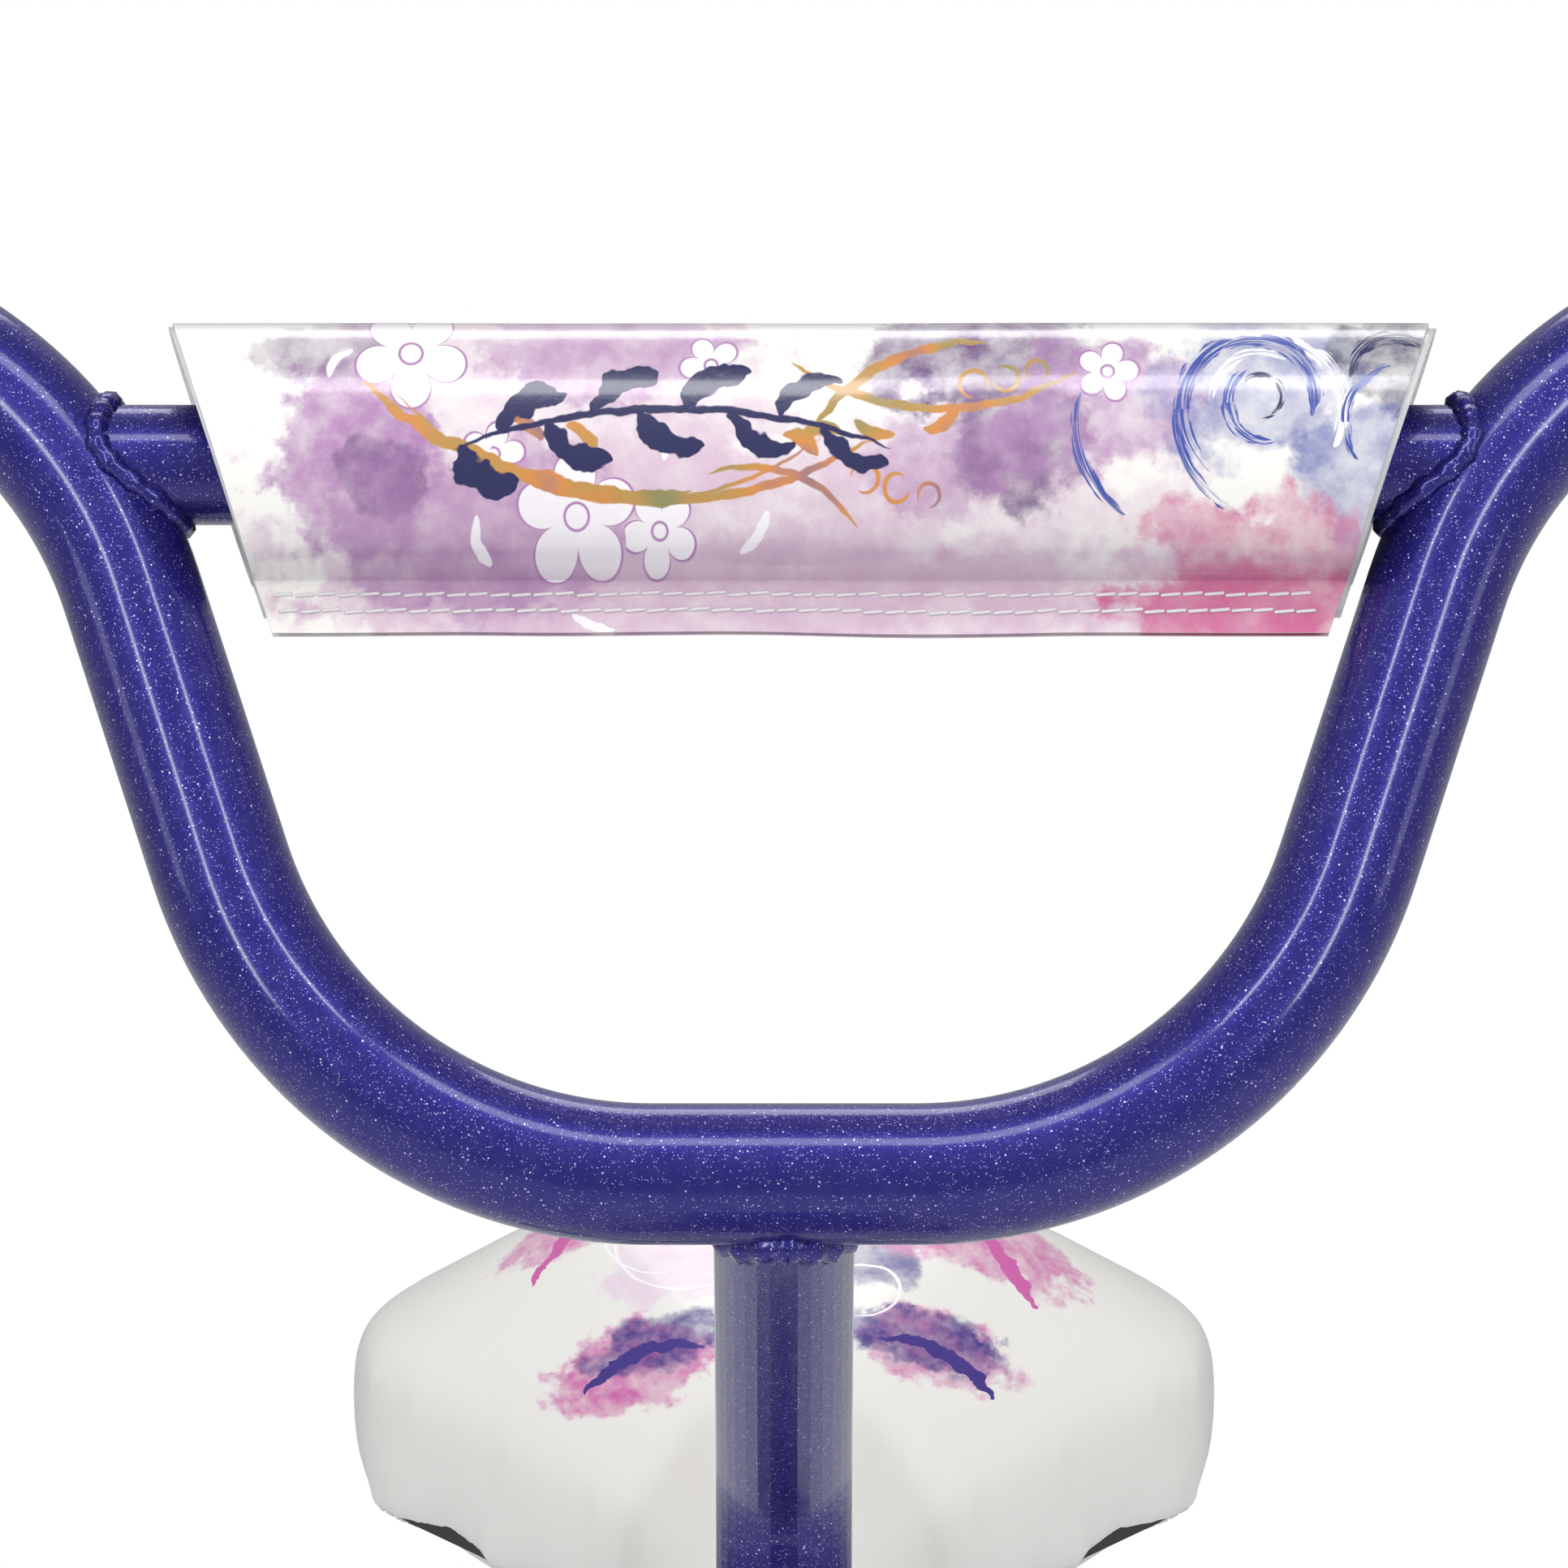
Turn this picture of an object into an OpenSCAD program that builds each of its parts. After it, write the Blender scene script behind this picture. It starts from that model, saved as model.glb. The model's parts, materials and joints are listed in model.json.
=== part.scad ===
// Children's BMX-style bicycle: 20-inch wheels, one gear, a back-pedal brake and a kickstand.
// +X points forward, +Y to the rider's left and +Z up. The origin lies on the floor,
// straight under the bottom bracket.

/* [Frame] */
// Height of the bottom bracket above the wheel axles
bb_rise = 20; // [0:1:35]
// Distance from the bottom bracket centre to the rear edge of the front tyre
front_gap = 310; // [290:5:400]
// Distance from the bottom bracket centre to the front edge of the rear tyre, before the chain is fitted
rear_gap = 116; // [110:1:150]
// Angle of the steering axis to the floor
head_angle = 70; // [68:0.5:73]
// Angle of the seat tube to the floor
seat_angle = 70; // [67:0.5:74]
// Length of the head tube
head_len = 105; // [85:1:140]
// Outside diameter of the head tube
head_od = 36; // [35:0.5:44]
// Bore of the head tube, which the headset cups press into
head_bore = 30; // [29.6:0.1:31]
// Length of the seat tube above the bottom bracket centre
seat_tube_len = 255; // [225:5:330]
// Outside diameter of the seat tube
seat_tube_od = 28.6; // [28.4:0.1:35]
// Outside diameter of the top tube
top_tube_od = 28.6; // [22:0.2:35]
// Outside diameter of the down tube
down_tube_od = 31.8; // [26:0.2:40]
// Outside diameter of the chain stays and the seat stays
stay_od = 16; // [12:0.5:19]
// Wall of the frame tubes
tube_wall = 1.5; // [1:0.1:2.5]
// Outside diameter of the bottom bracket shell
shell_od = 57; // [56:0.5:62]
// Width of the bottom bracket shell
shell_w = 68; // [66:1:73]
// Thickness of the rear dropout plates
dropout_t = 5; // [3:0.5:7]

/* [Wheels] */
// Outside diameter of the tyres
tyre_od = 500; // [400:5:620]
// Diameter of the tyre's round section
tyre_w = 47; // [40:0.5:57]
// Thickness of the tyre's wall
tyre_wall = 3; // [2:0.1:3.5]
// Width between the rim's side walls
rim_gap = 25; // [20:0.5:30]
// Height of the rim's side walls above the bead seat
rim_wall_h = 6.3; // [5:0.1:7]
// Thickness of the rim's side walls
rim_wall = 2.5; // [1.5:0.1:3]
// Number of spokes in each wheel
spoke_count = 28; // [20:4:36]
// Diameter of a spoke
spoke_d = 2; // [1.8:0.1:2.4]
// Diameter of the wheel axles
axle_d = 10; // [8:0.5:12]
// Width between the front fork ends
front_old = 100; // [92:1:110]
// Width between the rear dropouts
rear_old = 110; // [106:1:125]

/* [Fork and headset] */
// Forward offset of the front axle from the steering axis
rake = 32; // [20:1:45]
// Gap between the front tyre and the fork crown's centreline
crown_gap = 40; // [34:1:60]
// Distance of each fork blade from the middle
blade_y = 48; // [44:1:56]
// Outside diameter of the fork blades
blade_od = 24; // [20:0.5:28]
// Outside diameter of the steerer tube
steerer_od = 25.4; // [25:0.1:28.6]
// Wall of the steerer tube
steerer_wall = 1.55; // [1.2:0.05:2]
// Diameter of a headset ball
head_ball_d = 4.8; // [4:0.2:5.6]

/* [Handlebar] */
// Outside diameter of the handlebar and of the stem tubes
bar_od = 22.2; // [20:0.1:25.4]
// Wall of the handlebar and of the stem tubes
bar_wall = 2; // [1.2:0.1:2.6]
// Half width of the bar's bottom, out to where the legs' lines start
bar_bottom = 72.5; // [60:0.5:90]
// Half width of the bar at its upper corners
bar_corner = 117; // [108:0.5:150]
// Height of the upper corners above the bottom
bar_corner_h = 136.5; // [132:0.5:180]
// Half of the handlebar's whole width
bar_half = 300; // [270:1:360]
// Upward slope of the hand sections
bar_upsweep = 6; // [0:0.5:10]
// Backward slope of the hand sections
bar_backsweep = 9; // [0:0.5:12]
// Centreline radius of the bar's bends
bar_bend = 71; // [50:1:75]
// Outside diameter of the crossbar
crossbar_od = 19; // [16:0.5:22]
// Height of the crossbar above the bar's bottom
crossbar_h = 112.6; // [100:0.2:125]
// Distance of the bar ahead of the steering axis
stem_reach = 108; // [80:1:130]
// Height of the bar's bottom above the stem's bend, along the steering axis
stem_rise = 39.4; // [25:0.2:60]
// Length of the stem showing above the lock nut, up to its bend
stem_show = 64; // [45:1:90]
// Outside diameter of the handlebar pad
pad_od = 40; // [36:1:60]
// Length of the pad at its top edge
pad_top_len = 198; // [150:1:200]
// Length of the pad at its bottom edge
pad_bottom_len = 166; // [130:1:170]
// Height of the stitched hem under the pad
pad_hem_h = 9; // [5:0.5:14]
// Length of a grip
grip_len = 108; // [85:1:130]
// Outside diameter of a grip
grip_od = 31; // [28:0.5:36]

/* [Drive] */
// Teeth on the chainring
ring_teeth = 36; // [32:1:38]
// Teeth on the rear sprocket
cog_teeth = 16; // [14:1:18]
// Length of the crank arms
crank_len = 140; // [114:1:165]
// Diameter of the one-piece crank where it runs through the frame
crank_d = 22; // [20:0.5:24]
// Diameter of the crank's arms
arm_d = 18; // [16:0.5:20]
// Distance of the chain from the middle of the bike
chainline = 42; // [42:0.5:44]
// Diameter of a pedal's spindle
spindle_d = 12; // [10:0.5:14]
// Length of a pedal along its spindle
pedal_w = 90; // [75:1:105]
// Depth of a pedal, front to back
pedal_d = 65; // [55:1:85]
// Thickness of a pedal
pedal_t = 28; // [24:1:32]

/* [Saddle] */
// Diameter of the seat post
post_d = 25.4; // [25:0.1:27.2]
// Length of the seat post showing above the seat tube
post_show = 50; // [50:1:160]
// Length of the seat post inside the seat tube
post_in = 130; // [110:1:160]
// Width of the saddle
saddle_w = 178; // [150:1:200]
// Length of the saddle
saddle_l = 250; // [230:1:280]
// Height of the saddle's cushion over its base
saddle_h = 58; // [44:1:66]
// Downward slope of the saddle towards its nose
saddle_slope = 8; // [0:0.5:10]

/* [Stand] */
// Diameter of the kickstand's leg
stand_d = 14; // [10:0.5:16]
// Length of the kickstand from its pivot to its foot
stand_len = 255; // [225:1:285]

/* [Hidden] */
$fn = 48;

// Clearances: a shaft in its bearing, a part in its seat, and a part clear of a moving neighbour
running = 0.05;
seat_gap = 0.05;
clear = 0.3;

frame_paint = "#2e2a86";
steel = "#b9bcc2";
black = "#1c1c1f";
white = "#f2f1ee";

// Wheels and their places
tyre_r = tyre_od / 2;
section_r = tyre_w / 2;
axle_z = tyre_r;
bb_z = axle_z + bb_rise;
seat_r = tyre_r - tyre_w;
front_x = tyre_r + front_gap;

// Chain drive: the centre distance is the one at which a whole even number of links closes
pitch = 12.7;
ring_r = pitch / (2 * sin(180 / ring_teeth));
cog_r = pitch / (2 * sin(180 / cog_teeth));
teeth_step = (ring_teeth - cog_teeth) / (2 * PI);
rear_target = tyre_r + rear_gap;
link_need = 2 * rear_target / pitch + (ring_teeth + cog_teeth) / 2
    + teeth_step * teeth_step * pitch / rear_target;
link_count = 2 * round(link_need / 2);
free_links = link_count - (ring_teeth + cog_teeth) / 2;
centre_dist = pitch / 4 * (free_links + sqrt(free_links * free_links - 8 * teeth_step * teeth_step));
rear_x = -sqrt(centre_dist * centre_dist - bb_rise * bb_rise);
chain_tilt = asin(bb_rise / centre_dist);

// Stations along the steering axis, measured from the point nearest the front axle
crown_s = tyre_r + crown_gap;
race_s = crown_s + blade_od / 2 + 0.4;
race_t = 2.8;
lower_ball_s = race_s + race_t + clear + head_ball_d / 2;
low_s = lower_ball_s + head_ball_d / 2 + clear + 3.4;
up_s = low_s + head_len;
upper_ball_s = up_s + 3.4 + clear + head_ball_d / 2;
adjust_s = upper_ball_s + head_ball_d / 2 + clear;
adjust_t = 8;
bracket_t = 2;
lock_t = 8;
lock_s = adjust_s + adjust_t + bracket_t;
steerer_top = lock_s + lock_t - 1;
elbow_s = lock_s + lock_t + stem_show;
bar_s = elbow_s + stem_rise;
quill_s = low_s + 70;
steer_foot = [front_x - rake * sin(head_angle), 0, axle_z - rake * cos(head_angle)];

// Balls of the headset run on this circle
head_ball_circle = steerer_od / 2 + 1.5 + clear + head_ball_d / 2;

// Points of the handlebar's centreline, from the middle out to the left
bar_tip_up = (bar_half - bar_corner) * tan(bar_upsweep);
bar_tip_back = (bar_half - bar_corner) * tan(bar_backsweep);
bar_left = [[stem_reach, bar_bottom, bar_s], [stem_reach, bar_corner, bar_s + bar_corner_h],
    [stem_reach - bar_tip_back, bar_half, bar_s + bar_corner_h + bar_tip_up]];
bar_right = [for (i = [2:-1:0]) [bar_left[i].x, -bar_left[i].y, bar_left[i].z]];
bar_points = concat(bar_right, bar_left);
crossbar_s = bar_s + crossbar_h;

// Points of the right-hand crank arm, bent out from the axle
crank_root = 61;
crank_tip = 68;
crank_bend = 15;
boss_d = 26;
boss_w = arm_d + 3;

// Bottom bracket bearings
crank_ball_d = 6.2;
cone_d = crank_d + 7.2;
crank_ball_circle = cone_d / 2 + clear + crank_ball_d / 2;
crank_ball_y = shell_w / 2 - 2.9;
cup_bore = 2 * (crank_ball_circle + crank_ball_d / 2 + clear);

// Rear triangle
dropout_y = rear_old / 2 + dropout_t / 2;
stay_r = stay_od / 2;
tyre_side_x = rear_x + tyre_r - section_r;
stay_side_y = section_r + stay_r + 6;

// Seat post's top, where the saddle clamps on
post_top = seat_tube_len + post_show;
saddle_at = [-post_top * cos(seat_angle), 0, bb_z + post_top * sin(seat_angle)];

// Kickstand: its pivot hangs under the left chain stay
stand_x = -(ring_r + 5);
stand_plate_z = stay_z(stand_x - 17) - stay_r - 0.2;
stand_plate_t = 5;
stand_pivot = [stand_x, 34, stand_plate_z - stand_plate_t - 16];
fold_dir = unit([-1, 0.07, -0.11]);
foot_dir = unit([0.067, 0.584, -0.809]);
stand_axis = unit(cross(fold_dir, foot_dir));

// Height of the chain stays' centreline, ahead of their bend
function stay_z(x) = bb_z - 1 - (bb_rise * 0.62 - 1) * (x + 20) / (tyre_side_x + 20);
function unit(v) = v / norm(v);
function side_of(d) = abs(unit(d).z) > 0.8 ? [1, 0, 0] : [0, 0, 1];

// Matrix that stands a shape's Z axis on the direction z, with its X axis as near x as it can be
function stand_on(p, z, x) = let (w = unit(z), v = unit(cross(w, x)), u = cross(v, w))
    [[u.x, v.x, w.x, p.x], [u.y, v.y, w.y, p.y], [u.z, v.z, w.z, p.z], [0, 0, 0, 1]];

module rod(a, b, r) multmatrix(stand_on(a, b - a, side_of(b - a))) cylinder(h = norm(b - a), r = r);

// Angle by which the way turns at b
function turn_angle(a, b, c) = acos(unit(b - a) * unit(c - b));

// Stations along a bent bar: the centre and the direction at each ring of its surface
bend_step = 9;
function bend_stations(a, b, c, bend_r) = let (d = unit(b - a), angle = turn_angle(a, b, c),
    inward = unit(unit(c - b) - d * (d * unit(c - b))),
    centre = b - d * bend_r * tan(angle / 2) + inward * bend_r, count = ceil(angle / bend_step))
    [for (i = [0:count]) let (t = angle * i / count)
        [centre + bend_r * (d * sin(t) - inward * cos(t)), d * cos(t) + inward * sin(t)]];
function stations(points, bend_r) = let (last = len(points) - 1) concat(
    [[points[0], unit(points[1] - points[0])]],
    [for (i = [1:1:last - 1]) each bend_stations(points[i - 1], points[i], points[i + 1], bend_r)],
    [[points[last], unit(points[last] - points[last - 1])]]);
function square_to(x, d) = unit(x - d * (x * d));
function ring_sides(st) = [for (i = 0, x = square_to(side_of(st[0][1]), st[0][1]); i < len(st);
    i = i + 1, x = i < len(st) ? square_to(x, st[i][1]) : x) x];

// Round bar along straight lines between points, with round bends at the inner ones
module bent_rod(points, bend_r, r, sides = 16) {
    st = stations(points, bend_r);
    xs = ring_sides(st);
    last = len(st) - 1;
    polyhedron(
        points = [for (i = [0:last]) for (k = [0:sides - 1]) let (a = k * 360 / sides)
            st[i][0] + r * (cos(a) * xs[i] + sin(a) * cross(st[i][1], xs[i]))],
        faces = concat([[for (k = [0:sides - 1]) k]],
            [for (i = [0:last - 1]) for (k = [0:sides - 1]) let (a = i * sides, b = (k + 1) % sides)
                each [[a + k, a + sides + k, a + sides + b], [a + k, a + sides + b, a + b]]],
            [[for (k = [sides - 1:-1:0]) last * sides + k]]));
}

module bent_tube(points, bend_r, r, wall, sides = 16) {
    last = len(points) - 1;
    past = concat([points[0] - unit(points[1] - points[0])],
        [for (i = [1:last - 1]) points[i]], [points[last] + unit(points[last] - points[last - 1])]);
    difference() {
        bent_rod(points, bend_r, r, sides);
        bent_rod(past, bend_r, r - wall, sides);
    }
}

// Ring about Z with square edges
module ring(od, id, h) difference() {
    cylinder(h = h, d = od);
    translate([0, 0, -1]) cylinder(h = h + 2, d = id);
}

// Local frames: Z along the steering axis, Z along the seat tube, and Z along the rider's right
module steer() translate(steer_foot) rotate([0, head_angle - 90, 0]) children();
module seat() translate([0, 0, bb_z]) rotate([0, seat_angle - 90, 0]) children();
module across(x, z) translate([x, 0, z]) rotate([90, 0, 0]) children();
function steer_point(p) = steer_foot + [p.x * sin(head_angle) - p.z * cos(head_angle), p.y,
    p.x * cos(head_angle) + p.z * sin(head_angle)];
function seat_point(t) = [-t * cos(seat_angle), 0, bb_z + t * sin(seat_angle)];
module mirrored() {
    children();
    mirror([0, 1, 0]) children();
}

// Frame tubes. Each is mitred by its neighbour's outer surface.
head_joint_top = up_s - 24;
head_joint_down = low_s + 27;
seat_joint_top = seat_tube_len - 36;
seat_bore = post_d + 2 * seat_gap;

module head_solid() steer() translate([0, 0, low_s]) cylinder(h = head_len, d = head_od);
module shell_solid() across(0, bb_z) cylinder(h = shell_w, d = shell_od, center = true);
module seat_tube_solid() seat() cylinder(h = seat_tube_len, d = seat_tube_od);

module head_tube() color(frame_paint) steer() translate([0, 0, low_s]) ring(head_od, head_bore, head_len);

module frame_tube(a, b, od) difference() {
    rod(a, b, od / 2);
    rod(a - unit(b - a), b + unit(b - a), od / 2 - tube_wall);
    children();
}

module top_tube() color(frame_paint)
    frame_tube(seat_point(seat_joint_top), steer_point([0, 0, head_joint_top]), top_tube_od) {
        union() {
            head_solid();
            seat_tube_solid();
        }
    }

module down_tube() color(frame_paint)
    frame_tube([0, 0, bb_z], steer_point([0, 0, head_joint_down]), down_tube_od) {
        union() {
            head_solid();
            shell_solid();
            seat_tube_solid();
        }
    }

module seat_tube() color(frame_paint) difference() {
    seat_tube_solid();
    seat() translate([0, 0, -1]) cylinder(h = seat_tube_len + 2, d = seat_bore);
    shell_solid();
    seat() translate([0, -1.5, seat_tube_len - 22]) mirror([1, 0, 0]) cube([30, 3, 30]);
}

module bottom_bracket_shell() color(frame_paint) across(0, bb_z) translate([0, 0, -shell_w / 2])
    ring(shell_od, cup_bore + 8.6, shell_w);

// Plate that holds the axle, with a slot that opens to the rear
module dropout(side) translate([rear_x, side * dropout_y, axle_z]) rotate([90, 0, 0])
    linear_extrude(height = dropout_t, center = true) difference() {
        union() {
            circle(19);
            polygon([[0, 19], [14, 34], [34, 26], [52, 8], [52, -6], [20, -17], [0, -19]]);
            translate([-26, -13]) square([26, 26]);
        }
        circle(axle_d / 2 + running);
        translate([-40, -axle_d / 2 - running]) square([40, axle_d + 2 * running]);
    }

module dropouts() {
    dropout(1);
    dropout(-1);
}
module rear_dropouts() color(frame_paint) dropouts();

function chain_stay(side) = [[-20, side * 22, bb_z - 1],
    [tyre_side_x, side * stay_side_y, axle_z + bb_rise * 0.38],
    [rear_x + 30, side * dropout_y, axle_z + 1]];
module chain_stays() color(frame_paint) {
    for (side = [-1, 1]) difference() {
        bent_tube(chain_stay(side), 90, stay_r, tube_wall);
        shell_solid();
        dropouts();
    }
}

// Seat stays run wide past the tyre, then close in on the seat tube
seat_stay_reach = seat_point(seat_tube_len - 30) - [rear_x, 0, axle_z];
knee_share = (tyre_r + 16) / norm(seat_stay_reach);
function seat_stay(side) = [[rear_x, side * dropout_y, axle_z] + unit(seat_stay_reach) * 24,
    [rear_x, side * (stay_side_y + 2), axle_z] + seat_stay_reach * knee_share,
    seat_point(seat_tube_len - 30) + [0, side * 11, 0]];
module seat_stays() color(frame_paint) {
    for (side = [-1, 1]) difference() {
        bent_tube(seat_stay(side), 60, stay_r, tube_wall);
        seat_tube_solid();
        dropouts();
    }
    difference() {
        rod(seat_stay(-1)[1], seat_stay(1)[1], 6);
        for (side = [-1, 1]) bent_rod(seat_stay(side), 60, stay_r);
    }
}

module seat_collar() color(steel) seat() translate([0, 0, seat_tube_len - 16]) difference() {
    union() {
        cylinder(h = 15, d = seat_tube_od + 6);
        translate([-seat_tube_od / 2 - 12, -7, 1]) cube([14, 14, 13]);
        translate([-seat_tube_od / 2 - 7.5, 0, 7.5]) rotate([90, 0, 0])
            cylinder(h = 24, d = 6, center = true);
        translate([-seat_tube_od / 2 - 7.5, 13, 7.5]) rotate([90, 0, 0]) cylinder(h = 4, d = 10, $fn = 6);
        translate([-seat_tube_od / 2 - 7.5, -9, 7.5]) rotate([90, 0, 0]) cylinder(h = 4, d = 10, $fn = 6);
    }
    translate([0, 0, -1]) cylinder(h = 17, d = seat_tube_od + 2 * seat_gap);
    translate([-seat_tube_od / 2 - 20, -1.5, -1]) cube([20, 3, 20]);
}

// Headset: two cups pressed into the head tube, a race on the crown, an adjusting race and a lock nut
cup_od = max(head_od + 4, 2 * head_ball_circle + head_ball_d + 2 * clear + 3.6);
ball_wall = head_ball_circle + head_ball_d / 2 + clear;
cone_r = head_ball_circle - head_ball_d / 2 - clear;

// A cup stands with its flange at z = 0 and its skirt above, and holds its balls below
module head_cup() rotate_extrude() polygon([[cone_r + 0.4, -3.4], [cup_od / 2 - 1.5, -3.4],
    [cup_od / 2, -2], [cup_od / 2, 0], [head_bore / 2, 0], [head_bore / 2, 10], [head_bore / 2 - 1.8, 10],
    [head_bore / 2 - 1.8, 0], [cone_r + 0.4, 0]]);
module cup_wall(h) translate([0, 0, -3.4 - h]) ring(cup_od - 1, 2 * ball_wall, h + 0.01);
module head_cup_whole() {
    head_cup();
    cup_wall(head_ball_d + clear);
}
module headset_cups() color(steel) steer() {
    translate([0, 0, low_s]) head_cup_whole();
    translate([0, 0, up_s]) mirror([0, 0, 1]) head_cup_whole();
}

module ball_ring(count, circle_r, d) for (i = [0:count - 1])
    rotate([0, 0, i * 360 / count]) translate([circle_r, 0, 0]) sphere(d = d, $fn = 24);
module headset_balls() color(steel) steer() {
    translate([0, 0, lower_ball_s]) ball_ring(16, head_ball_circle, head_ball_d);
    translate([0, 0, upper_ball_s]) ball_ring(16, head_ball_circle, head_ball_d);
}

module crown_race() color(steel) steer() translate([0, 0, race_s]) {
    ring(2 * ball_wall - 1, steerer_od + 2 * seat_gap, race_t);
    ring(2 * cone_r, steerer_od + 2 * seat_gap, race_t + head_ball_d / 2 + 1);
}

// Adjusting race with a round cone for the balls, the bracket's washer and an eight-sided lock nut
module headset_nuts() color(steel) steer() {
    translate([0, 0, adjust_s]) {
        ring(cup_od, steerer_od + 2 * seat_gap, adjust_t);
        translate([0, 0, -head_ball_d / 2 - 1])
            ring(2 * cone_r, steerer_od + 2 * seat_gap, head_ball_d / 2 + 2);
    }
    translate([0, 0, lock_s]) difference() {
        intersection() {
            cylinder(h = lock_t, d = steerer_od + 13, $fn = 8);
            cylinder(h = lock_t, d = steerer_od + 12);
        }
        translate([0, 0, -1]) cylinder(h = lock_t, d = steerer_od + 2 * seat_gap);
        translate([0, 0, lock_t - 2]) cylinder(h = 4, d = bar_od + 0.8);
    }
}

// Fork
steerer_bore = bar_od + 2 * seat_gap;
blade_points = [[0, -blade_y, 44], [0, -blade_y, crown_s], [0, blade_y, crown_s], [0, blade_y, 44]];
module crown_solid() bent_rod(blade_points, 38, blade_od / 2, 24);
module steerer_tube() color(frame_paint) steer() difference() {
    translate([0, 0, crown_s]) ring(steerer_od, steerer_od - 2 * steerer_wall, steerer_top - crown_s);
    translate([0, 0, quill_s - 40]) cylinder(h = 400, d = steerer_bore);
    crown_solid();
}

fork_end_y = front_old / 2 + 2.5;
module fork_end() translate([0, fork_end_y, 0]) rotate([90, 0, 0]) linear_extrude(height = 5, center = true)
    difference() {
        union() {
            translate([rake, 0]) circle(14);
            polygon([[rake - 14, 0], [rake + 13, 6], [11, 62], [-11, 62], [-11, 40]]);
        }
        translate([rake, 0]) circle(axle_d / 2 + running);
        translate([rake - axle_d / 2 - running, -30]) square([axle_d + 2 * running, 30]);
    }
module fork_blades() color(frame_paint) steer() {
    bent_tube(blade_points, 38, blade_od / 2, 1.8, 24);
    mirrored() fork_end();
}

// Stem: quill, bend and extension are one bar-sized tube, mitred to the bar's bottom
stem_points = [[0, 0, quill_s], [0, 0, elbow_s], [stem_reach, 0, bar_s]];
stem_bolt_d = 8;
module bar_solid() bent_rod(bar_points, bar_bend, bar_od / 2, 24);
module stem() color(frame_paint) steer() difference() {
    union() {
        bent_rod(stem_points, 24, bar_od / 2, 32);
        translate([0, 0, elbow_s - 12]) cylinder(h = 22, d = 17);
    }
    difference() {
        bent_rod([stem_points[0] - [0, 0, 1], stem_points[1], stem_points[2]], 24, bar_od / 2 - bar_wall, 32);
        translate([0, 0, elbow_s - 12]) cylinder(h = 30, d = 13);
    }
    translate([0, 0, elbow_s - 60]) cylinder(h = 100, d = stem_bolt_d + 2 * seat_gap);
    translate([0, 0, elbow_s + 4]) cylinder(h = 20, d = 13.4);
    translate([0, 0, quill_s]) rotate([0, 45, 0]) translate([-30, -30, -60]) cube(60);
    bar_solid();
}

// Wedge that slides down the cut of the quill, with its long bolt up through the stem
module stem_expander() color(steel) steer() {
    difference() {
        translate([0, 0, quill_s - 26]) cylinder(h = 46, d = bar_od - 0.3);
        translate([0, 0, quill_s - 0.6]) rotate([0, 45, 0]) translate([-30, -30, 0]) cube(60);
    }
    translate([0, 0, quill_s - 20]) cylinder(h = elbow_s + 4.5 - quill_s + 20, d = stem_bolt_d - 0.2);
    translate([0, 0, elbow_s + 4.5]) difference() {
        cylinder(h = 8, d = 13);
        translate([0, 0, 3]) cylinder(h = 6, d = 6.9, $fn = 6);
    }
}

module handlebar() color(frame_paint) steer() bent_tube(bar_points, bar_bend, bar_od / 2, bar_wall, 24);

module crossbar_solid(r, grow) rod([stem_reach, -bar_corner - grow, crossbar_s],
    [stem_reach, bar_corner + grow, crossbar_s], r);
module crossbar() color(frame_paint) steer() difference() {
    intersection() {
        crossbar_solid(crossbar_od / 2, 0);
        translate([stem_reach, 0, crossbar_s]) cube([60, 2 * crossbar_end, 60], center = true);
    }
    crossbar_solid(crossbar_od / 2 - bar_wall, 1);
    bar_solid();
}
crossbar_end = bar_corner - 3.6;

// Pad: a round roll, cut along the slant of the bar's legs, over a flat stitched hem
pad_bore = crossbar_od + 0.4;
module handlebar_pad() color(white) steer() translate([stem_reach, 0, crossbar_s]) {
    slant = (pad_top_len - pad_bottom_len) / 2 / (pad_od + pad_hem_h);
    top = pad_od / 2;
    low = -pad_od / 2 - pad_hem_h;
    difference() {
        intersection() {
            union() {
                rotate([90, 0, 0]) cylinder(h = pad_top_len + 20, d = pad_od, center = true);
                translate([-1.5, -pad_top_len, low]) cube([3, 2 * pad_top_len, pad_od / 2]);
            }
            rotate([90, 0, 90]) linear_extrude(height = pad_od + 4, center = true) polygon([
                [-pad_bottom_len / 2, low], [pad_bottom_len / 2, low],
                [pad_top_len / 2, top], [-pad_top_len / 2, top]]);
        }
        rotate([90, 0, 0]) cylinder(h = pad_top_len + 40, d = pad_bore, center = true);
    }
}

// Grips: a ribbed sleeve with a flange at its inner end and a closed outer end
bar_hand = unit(bar_left[2] - bar_left[1]);
module grip(side) color(white) steer() {
    dir = [bar_hand.x, side * bar_hand.y, bar_hand.z];
    tip = [bar_left[2].x, side * bar_left[2].y, bar_left[2].z];
    multmatrix(stand_on(tip, -dir, [0, 0, 1])) difference() {
        rotate_extrude() polygon(concat([[0, -4], [grip_od / 2 - 1, -4]],
            [for (i = [0:7]) each [[grip_od / 2, -2 + i * 13], [grip_od / 2, 8 + i * 13],
                [grip_od / 2 - 1.2, 9 + i * 13], [grip_od / 2 - 1.2, 10 + i * 13]]],
            [[grip_od / 2, grip_len - 4], [grip_od / 2 + 7, grip_len - 3], [grip_od / 2 + 7, grip_len],
                [0, grip_len]]));
        cylinder(h = grip_len + 10, d = bar_od + 2 * seat_gap);
    }
}
module grip_left() grip(1);
module grip_right() grip(-1);

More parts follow.
